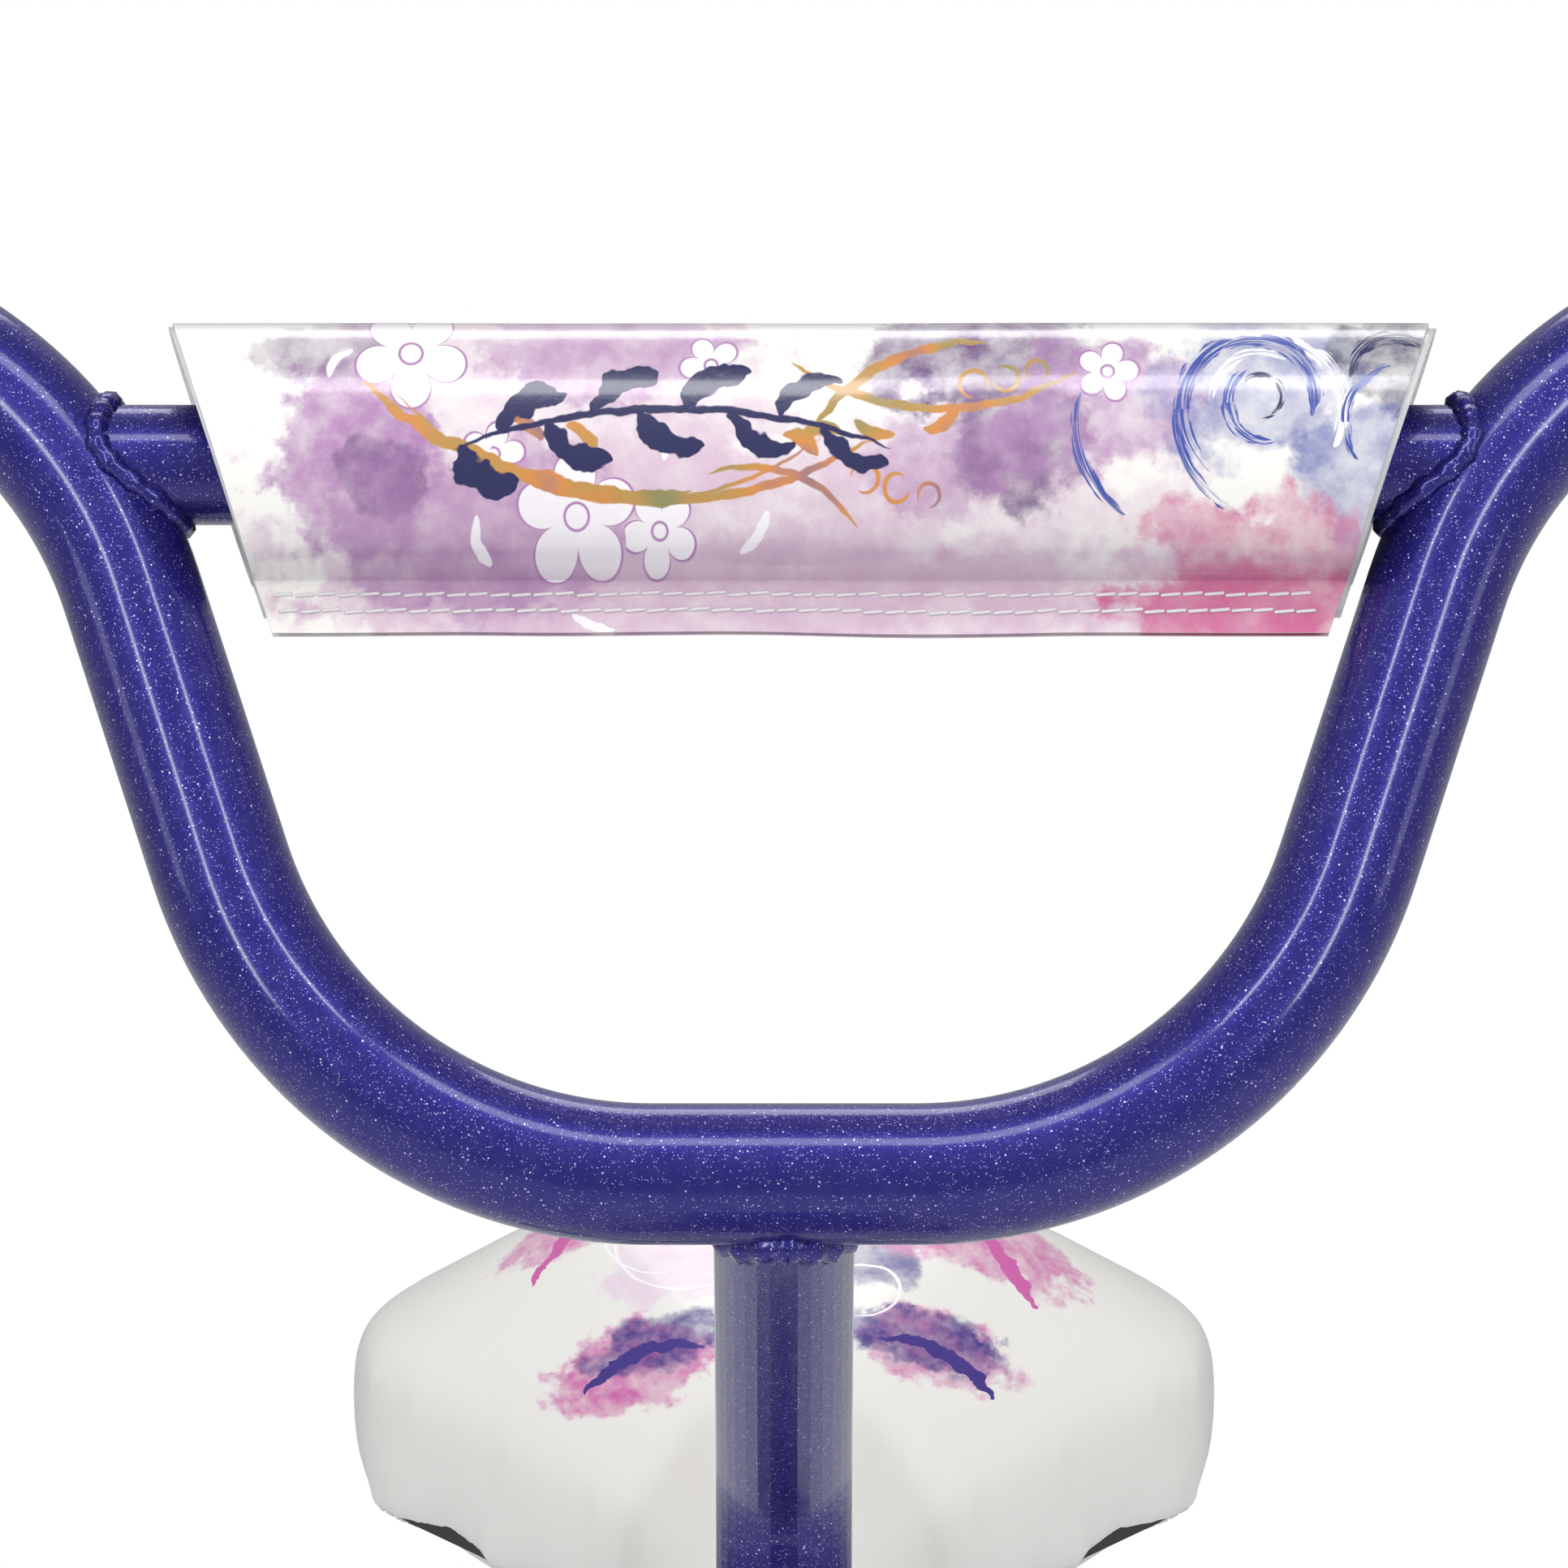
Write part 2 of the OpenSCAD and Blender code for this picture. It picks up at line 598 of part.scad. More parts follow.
// Round reflector on a bracket that is clamped under the headset's lock nut
module front_reflector() color(white) steer() translate([0, 0, adjust_s + adjust_t]) {
    difference() {
        union() {
            cylinder(h = bracket_t, d = steerer_od + 10);
            translate([0, -8, 0]) cube([46, 16, bracket_t]);
        }
        translate([0, 0, -1]) cylinder(h = 4, d = steerer_od + 2 * seat_gap);
    }
    translate([44, -8, 0]) cube([2, 16, 22]);
    translate([46, 0, 24]) rotate([0, 90, 0]) cylinder(h = 8, d = 56);
}

// Axles and their nuts. Cones and lock nuts fill the space between the hub and the frame.
front_hub_half = front_old / 2 - 7;
rear_hub_left = rear_old / 2 - 14;
rear_hub_right = rear_old / 2 - 19;
axle_out = 19;
// Both ends of an axle are turned down to a short point, which stands out of its nut
axle_point_d = 9;
axle_point_len = 3.8;
module threaded_axle(half) {
    cylinder(h = 2 * half, d = axle_point_d, center = true);
    cylinder(h = 2 * (half - axle_point_len), d = axle_d, center = true);
}
module front_axle() color(steel) {
    across(front_x, axle_z) threaded_axle(front_old / 2 + axle_out);
    mirrored() across(front_x, axle_z) translate([0, 0, front_hub_half + clear])
        cylinder(h = front_old / 2 - front_hub_half - clear, d = 17);
}
module axle_nut(x, out, t) across(x, axle_z) translate([0, 0, out + t + seat_gap]) difference() {
    union() {
        cylinder(h = 2, d = 20);
        cylinder(h = 10, d = 17.3, $fn = 6);
    }
    translate([0, 0, -1]) cylinder(h = 13, d = axle_d + 2 * seat_gap);
}
module front_axle_nuts() color(steel) mirrored() axle_nut(front_x, front_old / 2, 5);
module rear_axle_nuts() color(steel) mirrored() axle_nut(rear_x, rear_old / 2, dropout_t);
module rear_axle() color(steel) across(rear_x, axle_z) {
    threaded_axle(rear_old / 2 + axle_out);
    translate([0, 0, rear_hub_right + 12.6]) cylinder(h = rear_old / 2 - rear_hub_right - 12.6, d = 17);
    translate([0, 0, -rear_old / 2]) cylinder(h = 2.4, d = 17);
    translate([0, 0, -rear_old / 2 + 6.6]) cylinder(h = 7, d = 20);
}

// Wheel parts are modelled about Z and turned onto the axle
module front_wheel() across(front_x, axle_z) children();
module rear_wheel() across(rear_x, axle_z) children();

// Half width of a round section of radius r, h above its lowest point
function half_at(r, h) = sqrt(r * r - (r - h) * (r - h));
carcass_r = section_r - tyre_wall;
bead_out = rim_gap / 2 - 0.1;
foot_h = rim_wall_h + 0.3;
foot_top = foot_h + 5;
tube_flat = foot_top + 0.5;

module tyre() rotate_extrude($fn = 96) {
    difference() {
        translate([tyre_r - section_r, 0]) circle(section_r);
        translate([tyre_r - section_r, 0]) circle(carcass_r);
        translate([0, -tyre_w]) square([seat_r + foot_h - 0.2, 2 * tyre_w]);
    }
    for (side = [-1, 1]) translate([seat_r, 0]) polygon([[0.05, side * (bead_out - 3.8)],
        [0.05, side * bead_out], [foot_h, side * bead_out], [foot_h, side * (half_at(section_r, foot_h) - 0.4)],
        [foot_top, side * (half_at(section_r, foot_top) - 1.2)],
        [foot_top, side * (half_at(carcass_r, foot_top - tyre_wall) + 0.3)],
        [foot_h - 0.6, side * (bead_out - 3.8)]]);
}
module front_tyre() color(black) front_wheel() tyre();
module rear_tyre() color(black) rear_wheel() tyre();

// Inner tube with its valve, which goes out through the rim
valve_d = 8;
tube_r = carcass_r - clear;
module flat_circle(r, low) difference() {
    translate([tyre_r - section_r, 0]) circle(r);
    translate([0, -tyre_w]) square([low, 2 * tyre_w]);
}
module valve_along() rotate([0, 0, 180 / spoke_count]) rotate([0, 90, 0]) children();
module inner_tube() difference() {
    union() {
        rotate_extrude($fn = 96) difference() {
            flat_circle(tube_r, seat_r + tube_flat);
            flat_circle(tube_r - 1.2, seat_r + tube_flat + 1.2);
        }
        valve_along() {
            translate([0, 0, seat_r - 34]) cylinder(h = 34 + tube_flat + 0.6, d = valve_d);
            translate([0, 0, seat_r - 36]) cylinder(h = 12, d = valve_d + 1.4);
        }
    }
    valve_along() translate([0, 0, seat_r - 37]) cylinder(h = 37 + tube_flat + 4, d = 2.4);
}
module front_inner_tube() color(black) front_wheel() inner_tube();
module rear_inner_tube() color(black) rear_wheel() inner_tube();

// Rim: side walls, bead seats and a drop centre, drilled for the nipples and the valve
rim_low = 8;
rim_half = rim_gap / 2 + rim_wall;
nipple_d = 4;
module rim() difference() {
    rotate_extrude($fn = 96) translate([seat_r, 0]) polygon([[rim_wall_h, rim_half], [-3, rim_half],
        [-rim_low, rim_half - 5], [-rim_low, 5 - rim_half], [-3, -rim_half], [rim_wall_h, -rim_half],
        [rim_wall_h, -rim_gap / 2], [0, -rim_gap / 2], [0, 3.2 - rim_gap / 2],
        [-rim_low + 2.4, 5.2 - rim_gap / 2], [-rim_low + 2.4, rim_gap / 2 - 5.2],
        [0, rim_gap / 2 - 3.2], [0, rim_gap / 2], [rim_wall_h, rim_gap / 2]]);
    for (i = [0:spoke_count - 1]) rotate([0, 0, i * 360 / spoke_count])
        translate([0, 0, spoke_side(i) * 3]) rotate([0, 90, 0]) translate([0, 0, seat_r - 14])
            cylinder(h = 14, d = nipple_d + 2 * seat_gap);
    rotate([0, 0, 180 / spoke_count]) rotate([0, 90, 0]) translate([0, 0, seat_r - 14])
        cylinder(h = 20, d = valve_d + 2 * seat_gap);
}
module front_rim() color(steel) front_wheel() rim();
module rear_rim() color(steel) rear_wheel() rim();

// Spokes cross three others on their way from the flange to the rim. A flange is given as
// [distance to the right, distance to the left, hole circle radius].
flange_t = 3;
spoke_r = spoke_d / 2;
front_flange = [30, -30, 20];
rear_flange = [24, -30, 26];
function spoke_side(i) = i % 2 == 0 ? 1 : -1;
function spoke_lead(i) = floor(i / 2) % 2 == 0 ? 1 : -1;
function polar(r, a, z) = [r * cos(a), r * sin(a), z];
function spoke_hub_angle(i) = i * 360 / spoke_count + spoke_lead(i) * 3 * 720 / spoke_count;
function spoke_foot(i, flange, shift) = polar(flange[2], spoke_hub_angle(i),
    (spoke_side(i) > 0 ? flange[0] : flange[1]) + spoke_lead(i) * shift);
function spoke_head(i) = polar(seat_r - 16, i * 360 / spoke_count, spoke_side(i) * 3);
function nipple_foot(i) = polar(seat_r - 20, i * 360 / spoke_count, spoke_side(i) * 3);
function nipple_top(i) = polar(seat_r - 4, i * 360 / spoke_count, spoke_side(i) * 3);
function spoke_reach(i) = flange_t / 2 + spoke_r + 2 * seat_gap;
function spoke_far(i) = spoke_reach(i) + (spoke_lead(i) * spoke_side(i) > 0 ? 2 : 0);
module spokes(flange) {
    for (i = [0:spoke_count - 1]) {
        near_end = spoke_foot(i, flange, -spoke_reach(i));
        rod(spoke_foot(i, flange, spoke_far(i)), spoke_head(i), spoke_r);
        rod(spoke_foot(i, flange, spoke_far(i) + spoke_r), near_end, spoke_r + 0.1);
        rod(spoke_foot(i, flange, spoke_r - spoke_reach(i)), near_end, spoke_d);
        rod(nipple_foot(i), nipple_top(i), nipple_d / 2);
    }
}
module front_spokes() color(steel) front_wheel() spokes(front_flange);
module rear_spokes() color(steel) rear_wheel() spokes(rear_flange);

module hub(flange, right, left, barrel_r, bore) difference() {
    union() {
        translate([0, 0, -left]) cylinder(h = right + left, r = 11.5);
        translate([0, 0, flange[1]]) cylinder(h = flange[0] - flange[1], r = barrel_r);
        for (z = [flange[0], flange[1]]) translate([0, 0, z - flange_t / 2])
            cylinder(h = flange_t, r = flange[2] + 3.2);
    }
    translate([0, 0, -left - 1]) cylinder(h = right + left + 2, d = bore);
    for (i = [0:spoke_count - 1]) rod(spoke_foot(i, flange, 4 * spoke_lead(i)),
        spoke_foot(i, flange, -4 * spoke_lead(i)), spoke_r + 0.1 + seat_gap);
}
module front_hub() color(steel) front_wheel()
    hub(front_flange, front_hub_half, front_hub_half, 14, axle_d + 2 * running);
module rear_hub() color(steel) rear_wheel()
    hub(rear_flange, rear_hub_right, rear_hub_left, 20, axle_d + 2 * running);

// Wheel reflector: a block clipped over the spokes of the left side
module spoke_reflector(flange) {
    middle = 9.5 * 360 / spoke_count * 2 / 2;
    difference() {
        rotate([0, 0, middle]) translate([seat_r * 0.72, 0, -9]) cube([22, 66, 7], center = true);
        for (i = [0:spoke_count - 1]) rod(spoke_foot(i, flange, spoke_far(i)), spoke_head(i),
            spoke_r + seat_gap);
    }
}
module front_wheel_reflector() color("#e8912c") front_wheel() spoke_reflector(front_flange);
module rear_wheel_reflector() color("#e8912c") rear_wheel() spoke_reflector(rear_flange);

// Chain drive. A sprocket's teeth are cut by round gaps that seat the chain's rollers.
roller_d = 7.75;
roller_room = 0.3;
tooth_lean = 3;
plate_t = 1;
tooth_t = 2.8;
module toothed(teeth, r, phase) difference() {
    circle(r + 3.4, $fn = 96);
    for (i = [0:teeth - 1]) rotate(i * 360 / teeth + phase) {
        translate([r, 0]) circle(roller_d / 2 + roller_room);
        polygon([[r, -roller_d / 2 - roller_room], [r + 6, -roller_d / 2 - tooth_lean],
            [r + 6, roller_d / 2 + tooth_lean], [r, roller_d / 2 + roller_room]]);
    }
}

// Stations on the chain are counted in links, from where it leaves the chainring at the top.
// Angles are measured in the side view, from straight ahead and up.
wrap_extra = asin((ring_r - cog_r) / centre_dist);
span = sqrt(centre_dist * centre_dist - (ring_r - cog_r) * (ring_r - cog_r));
span_links = span / pitch;
cog_links = (180 - 2 * wrap_extra) * cog_teeth / 360;
ring_links = (180 + 2 * wrap_extra) * ring_teeth / 360;
total_links = 2 * span_links + cog_links + ring_links;
top_angle = 90 + chain_tilt + wrap_extra;
low_angle = 270 + chain_tilt - wrap_extra;
function on_circle(x, z, r, a) = [x + r * cos(a), z + r * sin(a)];
function blend(a, b, share) = a + (b - a) * share;
function chain_at(u) =
    u < span_links ? blend(on_circle(0, bb_z, ring_r, top_angle), on_circle(rear_x, axle_z, cog_r, top_angle),
        u / span_links) :
    u < span_links + cog_links ? on_circle(rear_x, axle_z, cog_r,
        top_angle + (u - span_links) * 360 / cog_teeth) :
    u < 2 * span_links + cog_links ? blend(on_circle(rear_x, axle_z, cog_r, low_angle),
        on_circle(0, bb_z, ring_r, low_angle), (u - span_links - cog_links) / span_links) :
    on_circle(0, bb_z, ring_r, low_angle + (u - 2 * span_links - cog_links) * 360 / ring_teeth);
function link_at(i) = chain_at((i % link_count) * total_links / link_count);
cog_first = ceil(span_links);
cog_phase = top_angle + (cog_first * total_links / link_count - span_links) * 360 / cog_teeth;

module side_plate(a, b, y, r) {
    turn = atan2(b.y - a.y, b.x - a.x);
    translate([a.x, y, a.y]) rotate([90, -turn, 0])
        linear_extrude(height = plate_t, center = true)
        polygon([[-r * 0.7, -r * 0.7], [0, -r], [pitch, -r], [pitch + r * 0.7, -r * 0.7],
            [pitch + r * 0.7, r * 0.7], [pitch, r], [0, r], [-r * 0.7, r * 0.7]]);
}
module chain() color("#8d8f94") for (i = [0:link_count - 1]) {
    a = link_at(i);
    b = link_at(i + 1);
    plate_y = i % 2 == 0 ? 2.3 : 3.4;
    for (side = [-1, 1]) side_plate(a, b, -chainline + side * plate_y, 3.9);
    translate([a.x, -chainline, a.y]) rotate([90, 0, 0]) cylinder(h = 4, d = roller_d, center = true);
    translate([a.x, -chainline, a.y]) rotate([90, 0, 0]) cylinder(h = 8.6, d = 3.6, center = true);
}

module chainring() color(steel) across(0, bb_z) translate([0, 0, chainline]) difference() {
    linear_extrude(height = tooth_t, center = true) difference() {
        toothed(ring_teeth, ring_r, top_angle);
        circle((crank_d + 2 * seat_gap) / 2);
        for (i = [0:4]) rotate(i * 72) difference() {
            circle(ring_r - 10);
            circle(30);
            translate([0, -9]) square([100, 18]);
            rotate(72) translate([0, -9]) square([100, 18]);
            rotate(144) translate([-100, -100]) square([200, 100]);
            rotate(18) translate([-100, -200]) square([200, 200]);
        }
    }
}
module rear_sprocket() color(steel) across(rear_x, axle_z) difference() {
    union() {
        translate([0, 0, chainline]) linear_extrude(height = tooth_t, center = true)
            toothed(cog_teeth, cog_r, cog_phase);
        translate([0, 0, rear_hub_right + clear]) cylinder(h = 12, r = 16);
    }
    cylinder(h = 200, d = axle_d + 2 * running, center = true);
}

// One-piece crank: both arms and the axle are one bent bar, with a shoulder against the chainring
crank_points = [[-crank_len, crank_tip, bb_z], [0, crank_root, bb_z], [0, -crank_root, bb_z],
    [crank_len, -crank_tip, bb_z]];
module crank() color(steel) difference() {
    union() {
        bent_rod(crank_points, crank_bend, arm_d / 2);
        across(0, bb_z) cylinder(h = 2 * chainline + 7, d = crank_d, center = true);
        across(0, bb_z) translate([0, 0, chainline + tooth_t / 2]) cylinder(h = 4, d = crank_d + 11);
        for (side = [-1, 1]) across(side * -crank_len, bb_z) translate([0, 0, -side * crank_tip])
            cylinder(h = boss_w, d = boss_d, center = true);
    }
    for (side = [-1, 1]) across(side * -crank_len, bb_z) translate([0, 0, -side * crank_tip])
        cylinder(h = boss_w + 2, d = spindle_d + 2.3, center = true);
}
module crank_cones() color(steel) {
    for (side = [-1, 1]) across(0, bb_z) mirror([0, 0, side < 0 ? 1 : 0])
        translate([0, 0, crank_ball_y - 2.2]) {
            ring(cone_d, crank_d + 2 * seat_gap, 5.5);
            translate([0, 0, 5.6])
                ring(cone_d + 5, crank_d + 2 * seat_gap, chainline - tooth_t / 2 - crank_ball_y - 3.4);
        }
}
module bottom_bracket_cups() color(steel) for (side = [-1, 1]) across(0, bb_z)
    mirror([0, 0, side < 0 ? 1 : 0]) {
        translate([0, 0, crank_ball_y - 3.4])
            ring(cup_bore + 8.6, cup_bore, shell_w / 2 + 0.6 - crank_ball_y + 3.4);
        translate([0, 0, crank_ball_y - 5]) ring(cup_bore + 8.6, cone_d + 1, 1.7);
        translate([0, 0, shell_w / 2]) ring(shell_od - 1, cup_bore, 0.6);
    }
module crank_balls() color(steel) for (side = [-1, 1]) across(0, bb_z)
    translate([0, 0, side * crank_ball_y]) ball_ring(11, crank_ball_circle, crank_ball_d);

// Pedals: a spindle screwed into each arm, a block that turns on it and reflectors front and back
pedal_in = boss_w / 2 + 5;
module pedal_at(side) translate([-side * crank_len, side * crank_tip, bb_z]) rotate([-90 * side, 0, 0])
    children();
module spindle() {
    translate([0, 0, -boss_w / 2]) cylinder(h = boss_w + 2, d = spindle_d + 2.2);
    translate([0, 0, boss_w / 2]) cylinder(h = 4.7, d = spindle_d + 6);
    cylinder(h = pedal_in + pedal_w - 6, d = spindle_d);
}
module pedal_spindles() color(steel) for (side = [-1, 1]) pedal_at(side) spindle();
module pedal() difference() {
    translate([-pedal_d / 2, -pedal_t / 2, pedal_in]) cube([pedal_d, pedal_t, pedal_w]);
    for (x = [-1, 1]) translate([x * (pedal_d / 4 + 1) - pedal_d / 8 + 1, -pedal_t, pedal_in + 10])
        cube([pedal_d / 4 - 4, 2 * pedal_t, pedal_w - 20]);
    cylinder(h = pedal_in + pedal_w - 5, d = spindle_d + 2 * running);
    for (x = [-1, 1]) translate([x * pedal_d / 2 - 2, -8, pedal_in + 18]) cube([4, 16, pedal_w - 36]);
}
module pedal_left() color(black) pedal_at(1) pedal();
module pedal_right() color(black) pedal_at(-1) pedal();
module pedal_reflectors() for (x = [-1, 1])
    translate([x * (pedal_d / 2 - 0.95) - 1, -7.9, pedal_in + 18.1]) cube([2, 15.8, pedal_w - 36.2]);
module pedal_reflectors_left() color("#e8912c") pedal_at(1) pedal_reflectors();
module pedal_reflectors_right() color("#e8912c") pedal_at(-1) pedal_reflectors();

// Chain guard: a flat plate outside the top run of the chain, on two brackets
guard_y = chainline + 9;
guard_t = 1.6;
guard_tail = rear_x + 92;
function tail_z(x) = bb_z + x / rear_x * -bb_rise + blend(ring_r, cog_r, x / rear_x);
module chain_guard() color(white) {
    translate([0, -guard_y, 0]) rotate([90, 0, 0]) linear_extrude(height = guard_t) difference() {
        union() {
            translate([0, bb_z]) circle(ring_r + 14);
            polygon([[0, bb_z + ring_r + 14], [guard_tail + 12, tail_z(guard_tail) + 15],
                [guard_tail, tail_z(guard_tail) + 6], [guard_tail, tail_z(guard_tail) - 10],
                [-ring_r, bb_z + 18], [0, bb_z]]);
        }
        translate([0, bb_z]) circle(44);
        translate([-200, bb_z - 200]) square([400, 182]);
    }
    stay_x = seat_point(guard_stay)[0];
    difference() {
        translate([stay_x, -guard_y, bb_z + guard_stay * sin(seat_angle)]) rotate([-90, 0, 0])
            cylinder(h = guard_y - 5, d = 6);
        seat_tube_solid();
    }
    difference() {
        translate([guard_tail + 8, -guard_y - guard_t, stay_z(guard_tail)]) cube([12, guard_t + 1, 40]);
        bent_rod(chain_stay(-1), 90, stay_r + seat_gap);
    }
}
guard_stay = ring_r + 9;

// Back-pedal brake's arm, held under the left chain stay by a clip and a screw
arm_y = rear_old / 2 - 4.5;
arm_reach = 126;
clip_x = rear_x + arm_reach;
clip_share = (clip_x - chain_stay(1)[2].x) / (chain_stay(1)[1].x - chain_stay(1)[2].x);
clip_at = blend(chain_stay(1)[2], chain_stay(1)[1], clip_share);
clip_dir = unit(chain_stay(1)[1] - chain_stay(1)[2]);
module brake_arm() color(steel) difference() {
    union() {
        translate([0, arm_y + 2, 0]) rotate([90, 0, 0]) linear_extrude(height = 4) difference() {
            union() {
                translate([rear_x, axle_z]) circle(15);
                polygon([[rear_x - 2, axle_z - 15], [rear_x + 6, axle_z + 12], [clip_x + 8, clip_at.z - 13],
                    [clip_x + 8, clip_at.z - 25]]);
            }
            translate([rear_x, axle_z]) circle(axle_d / 2 + seat_gap);
        }
        multmatrix(stand_on(clip_at - clip_dir * 6, clip_dir, [0, 0, 1])) cylinder(h = 12, r = stay_r + 2);
        translate([clip_x - 5, clip_at.y - 5, clip_at.z - 26]) cube([10, 9, 20]);
        translate([clip_x, arm_y + 8, clip_at.z - 19]) rotate([90, 0, 0]) cylinder(h = 18, d = 6);
    }
    bent_rod(chain_stay(1), 90, stay_r + seat_gap);
}

// Kickstand: a bracket clamped under the chain stays, and a leg that folds back beside the tyre
module kickstand_bracket() color(steel) {
    plate_half = 33;
    upper_z = stay_z(stand_x + 15) + stay_r + 0.2;
    translate([stand_x - 17, -plate_half, stand_plate_z - stand_plate_t])
        cube([34, 2 * plate_half, stand_plate_t]);
    translate([stand_x - 15, -plate_half, upper_z]) cube([30, 2 * plate_half, 4]);
    translate([stand_x, 0, stand_plate_z - 12]) cylinder(h = upper_z - stand_plate_z + 20, d = 8);
    translate([stand_x, 0, stand_plate_z - 12]) cylinder(h = 7.5, d = 15, $fn = 6);
    translate([stand_x - 10, 8, stand_pivot.z - 14]) cube([20, 11, stand_plate_z - stand_pivot.z + 12]);
    multmatrix(stand_on(stand_pivot, stand_axis, [1, 0, 0])) {
        translate([0, 0, 8 + clear]) cylinder(h = 12, r = 10);
        translate([0, 0, -11]) cylinder(h = 24, d = 10);
        translate([0, 0, -11 - clear]) cylinder(h = 3, d = 18);
    }
}
module kickstand() color(steel) difference() {
    union() {
        multmatrix(stand_on(stand_pivot, stand_axis, [1, 0, 0])) cylinder(h = 16, r = 11, center = true);
        rod(stand_pivot + fold_dir * 2, stand_pivot + fold_dir * (stand_len - 12), stand_d / 2);
        rod(stand_pivot + fold_dir * (stand_len - 26), stand_pivot + fold_dir * stand_len, stand_d / 2 + 2);
    }
    multmatrix(stand_on(stand_pivot, stand_axis, [1, 0, 0]))
        cylinder(h = 40, d = 10 + 2 * running, center = true);
}

// Saddle and its post
module seat_post() color(steel) seat() translate([0, 0, seat_tube_len - post_in])
    ring(post_d, post_d - 3.2, post_in + post_show);
module saddle_frame() translate(saddle_at) rotate([0, saddle_slope, 0]) children();
rail_y = 21;
rail_d = 7;
rail_z = 6;
rail_points = [[-88, rail_y + 14, 24], [-52, rail_y, rail_z], [44, rail_y, rail_z], [92, 9, 24]];
module saddle_rails() color(steel) saddle_frame() mirrored() bent_rod(rail_points, 14, rail_d / 2);
module saddle_clamp() color(steel) difference() {
    union() {
        seat() translate([0, 0, post_top - 26]) cylinder(h = 28, d = post_d + 7);
        saddle_frame() translate([0, 0, rail_z]) {
            rotate([90, 0, 0]) cylinder(h = 2 * rail_y + 14, d = 19, center = true);
            rotate([90, 0, 0]) cylinder(h = 2 * rail_y + 34, d = 8, center = true);
            mirrored() translate([0, rail_y + 7, 0]) rotate([-90, 0, 0]) cylinder(h = 6.5, d = 14, $fn = 6);
        }
    }
    seat() cylinder(h = post_top, d = post_d + 2 * seat_gap);
    saddle_frame() mirrored() bent_rod(rail_points, 14, rail_d / 2 + seat_gap);
}

// Outline of the saddle, seen from above: a wide rear, a waist and a round nose
saddle_rear = -saddle_l * 0.46;
saddle_tip = saddle_l * 0.54;
module saddle_outline(grow) for (part = [0, 1]) hull() {
    if (part == 0) mirrored() translate([saddle_rear + 46, saddle_w / 2 - 44]) circle(44 + grow);
    translate([saddle_rear + 116, 0]) circle(36 + grow);
    if (part == 1) translate([saddle_tip - 24, 0]) circle(24 + grow);
}
base_z = 25;
module saddle_base() color(black) saddle_frame() difference() {
    union() {
        translate([0, 0, base_z]) linear_extrude(height = 5) saddle_outline(-3);
        mirrored() for (p = [rail_points[0], rail_points[3]])
            translate([p.x + sign(p.x) * 4, p.y, base_z - 7]) cylinder(h = 9, d = 15);
    }
    mirrored() bent_rod(rail_points, 14, rail_d / 2 + seat_gap);
}
module saddle_pad() color(white) saddle_frame() translate([0, 0, base_z + 5]) difference() {
    for (part = [0, 1]) hull() {
        if (part == 0) {
            mirrored() translate([saddle_rear + 46, saddle_w / 2 - 44, 0]) cylinder(h = saddle_h * 0.42, r = 44);
            mirrored() translate([saddle_rear + 54, saddle_w / 2 - 58, saddle_h - 26]) sphere(26);
        }
        translate([saddle_rear + 116, 0, 0]) cylinder(h = saddle_h * 0.3, r = 36);
        translate([saddle_rear + 116, 0, saddle_h * 0.76 - 22]) sphere(22);
        if (part == 1) {
            translate([saddle_tip - 24, 0, 0]) cylinder(h = saddle_h * 0.2, r = 24);
            translate([saddle_tip - 28, 0, saddle_h * 0.58 - 18]) sphere(18);
        }
    }
    translate([-200, -200, -100]) cube([400, 400, 100]);
}

head_tube();
top_tube();
down_tube();
seat_tube();
bottom_bracket_shell();
chain_stays();
seat_stays();
rear_dropouts();
headset_cups();
headset_balls();
crank_balls();
bottom_bracket_cups();
seat_collar();
chain_guard();
chain();
rear_axle();
rear_axle_nuts();
brake_arm();
kickstand_bracket();
kickstand();
steerer_tube();
fork_blades();
crown_race();
headset_nuts();
stem();
stem_expander();
handlebar();
crossbar();
handlebar_pad();
grip_left();
grip_right();
front_reflector();
front_axle();
front_axle_nuts();
front_tyre();
front_rim();
front_spokes();
front_hub();
front_inner_tube();
front_wheel_reflector();
rear_tyre();
rear_rim();
rear_spokes();
rear_hub();
rear_inner_tube();
rear_wheel_reflector();
rear_sprocket();
crank();
chainring();
crank_cones();
pedal_spindles();
pedal_left();
pedal_right();
pedal_reflectors_left();
pedal_reflectors_right();
seat_post();
saddle_clamp();
saddle_rails();
saddle_base();
saddle_pad();
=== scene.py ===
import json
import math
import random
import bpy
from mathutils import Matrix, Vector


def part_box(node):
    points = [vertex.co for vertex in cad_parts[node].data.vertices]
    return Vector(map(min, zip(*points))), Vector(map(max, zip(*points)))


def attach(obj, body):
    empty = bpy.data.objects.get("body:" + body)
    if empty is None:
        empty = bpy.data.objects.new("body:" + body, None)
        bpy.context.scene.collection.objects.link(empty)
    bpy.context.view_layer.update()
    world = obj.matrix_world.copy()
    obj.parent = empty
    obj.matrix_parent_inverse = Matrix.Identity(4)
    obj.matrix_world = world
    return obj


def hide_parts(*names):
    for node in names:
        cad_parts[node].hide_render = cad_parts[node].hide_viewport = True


bl_info = {
    "name": "Children's BMX Bicycle",
    "version": (1, 0, 0),
    "blender": (4, 5, 0),
    "location": "View3D > Sidebar > Bicycle",
    "description": "Dresses the bicycle's frame in paint, printed vinyl, rubber, steel and stitching",
    "category": "Object",
}

import bpy
import numpy as np
from mathutils import Vector, bvhtree, noise

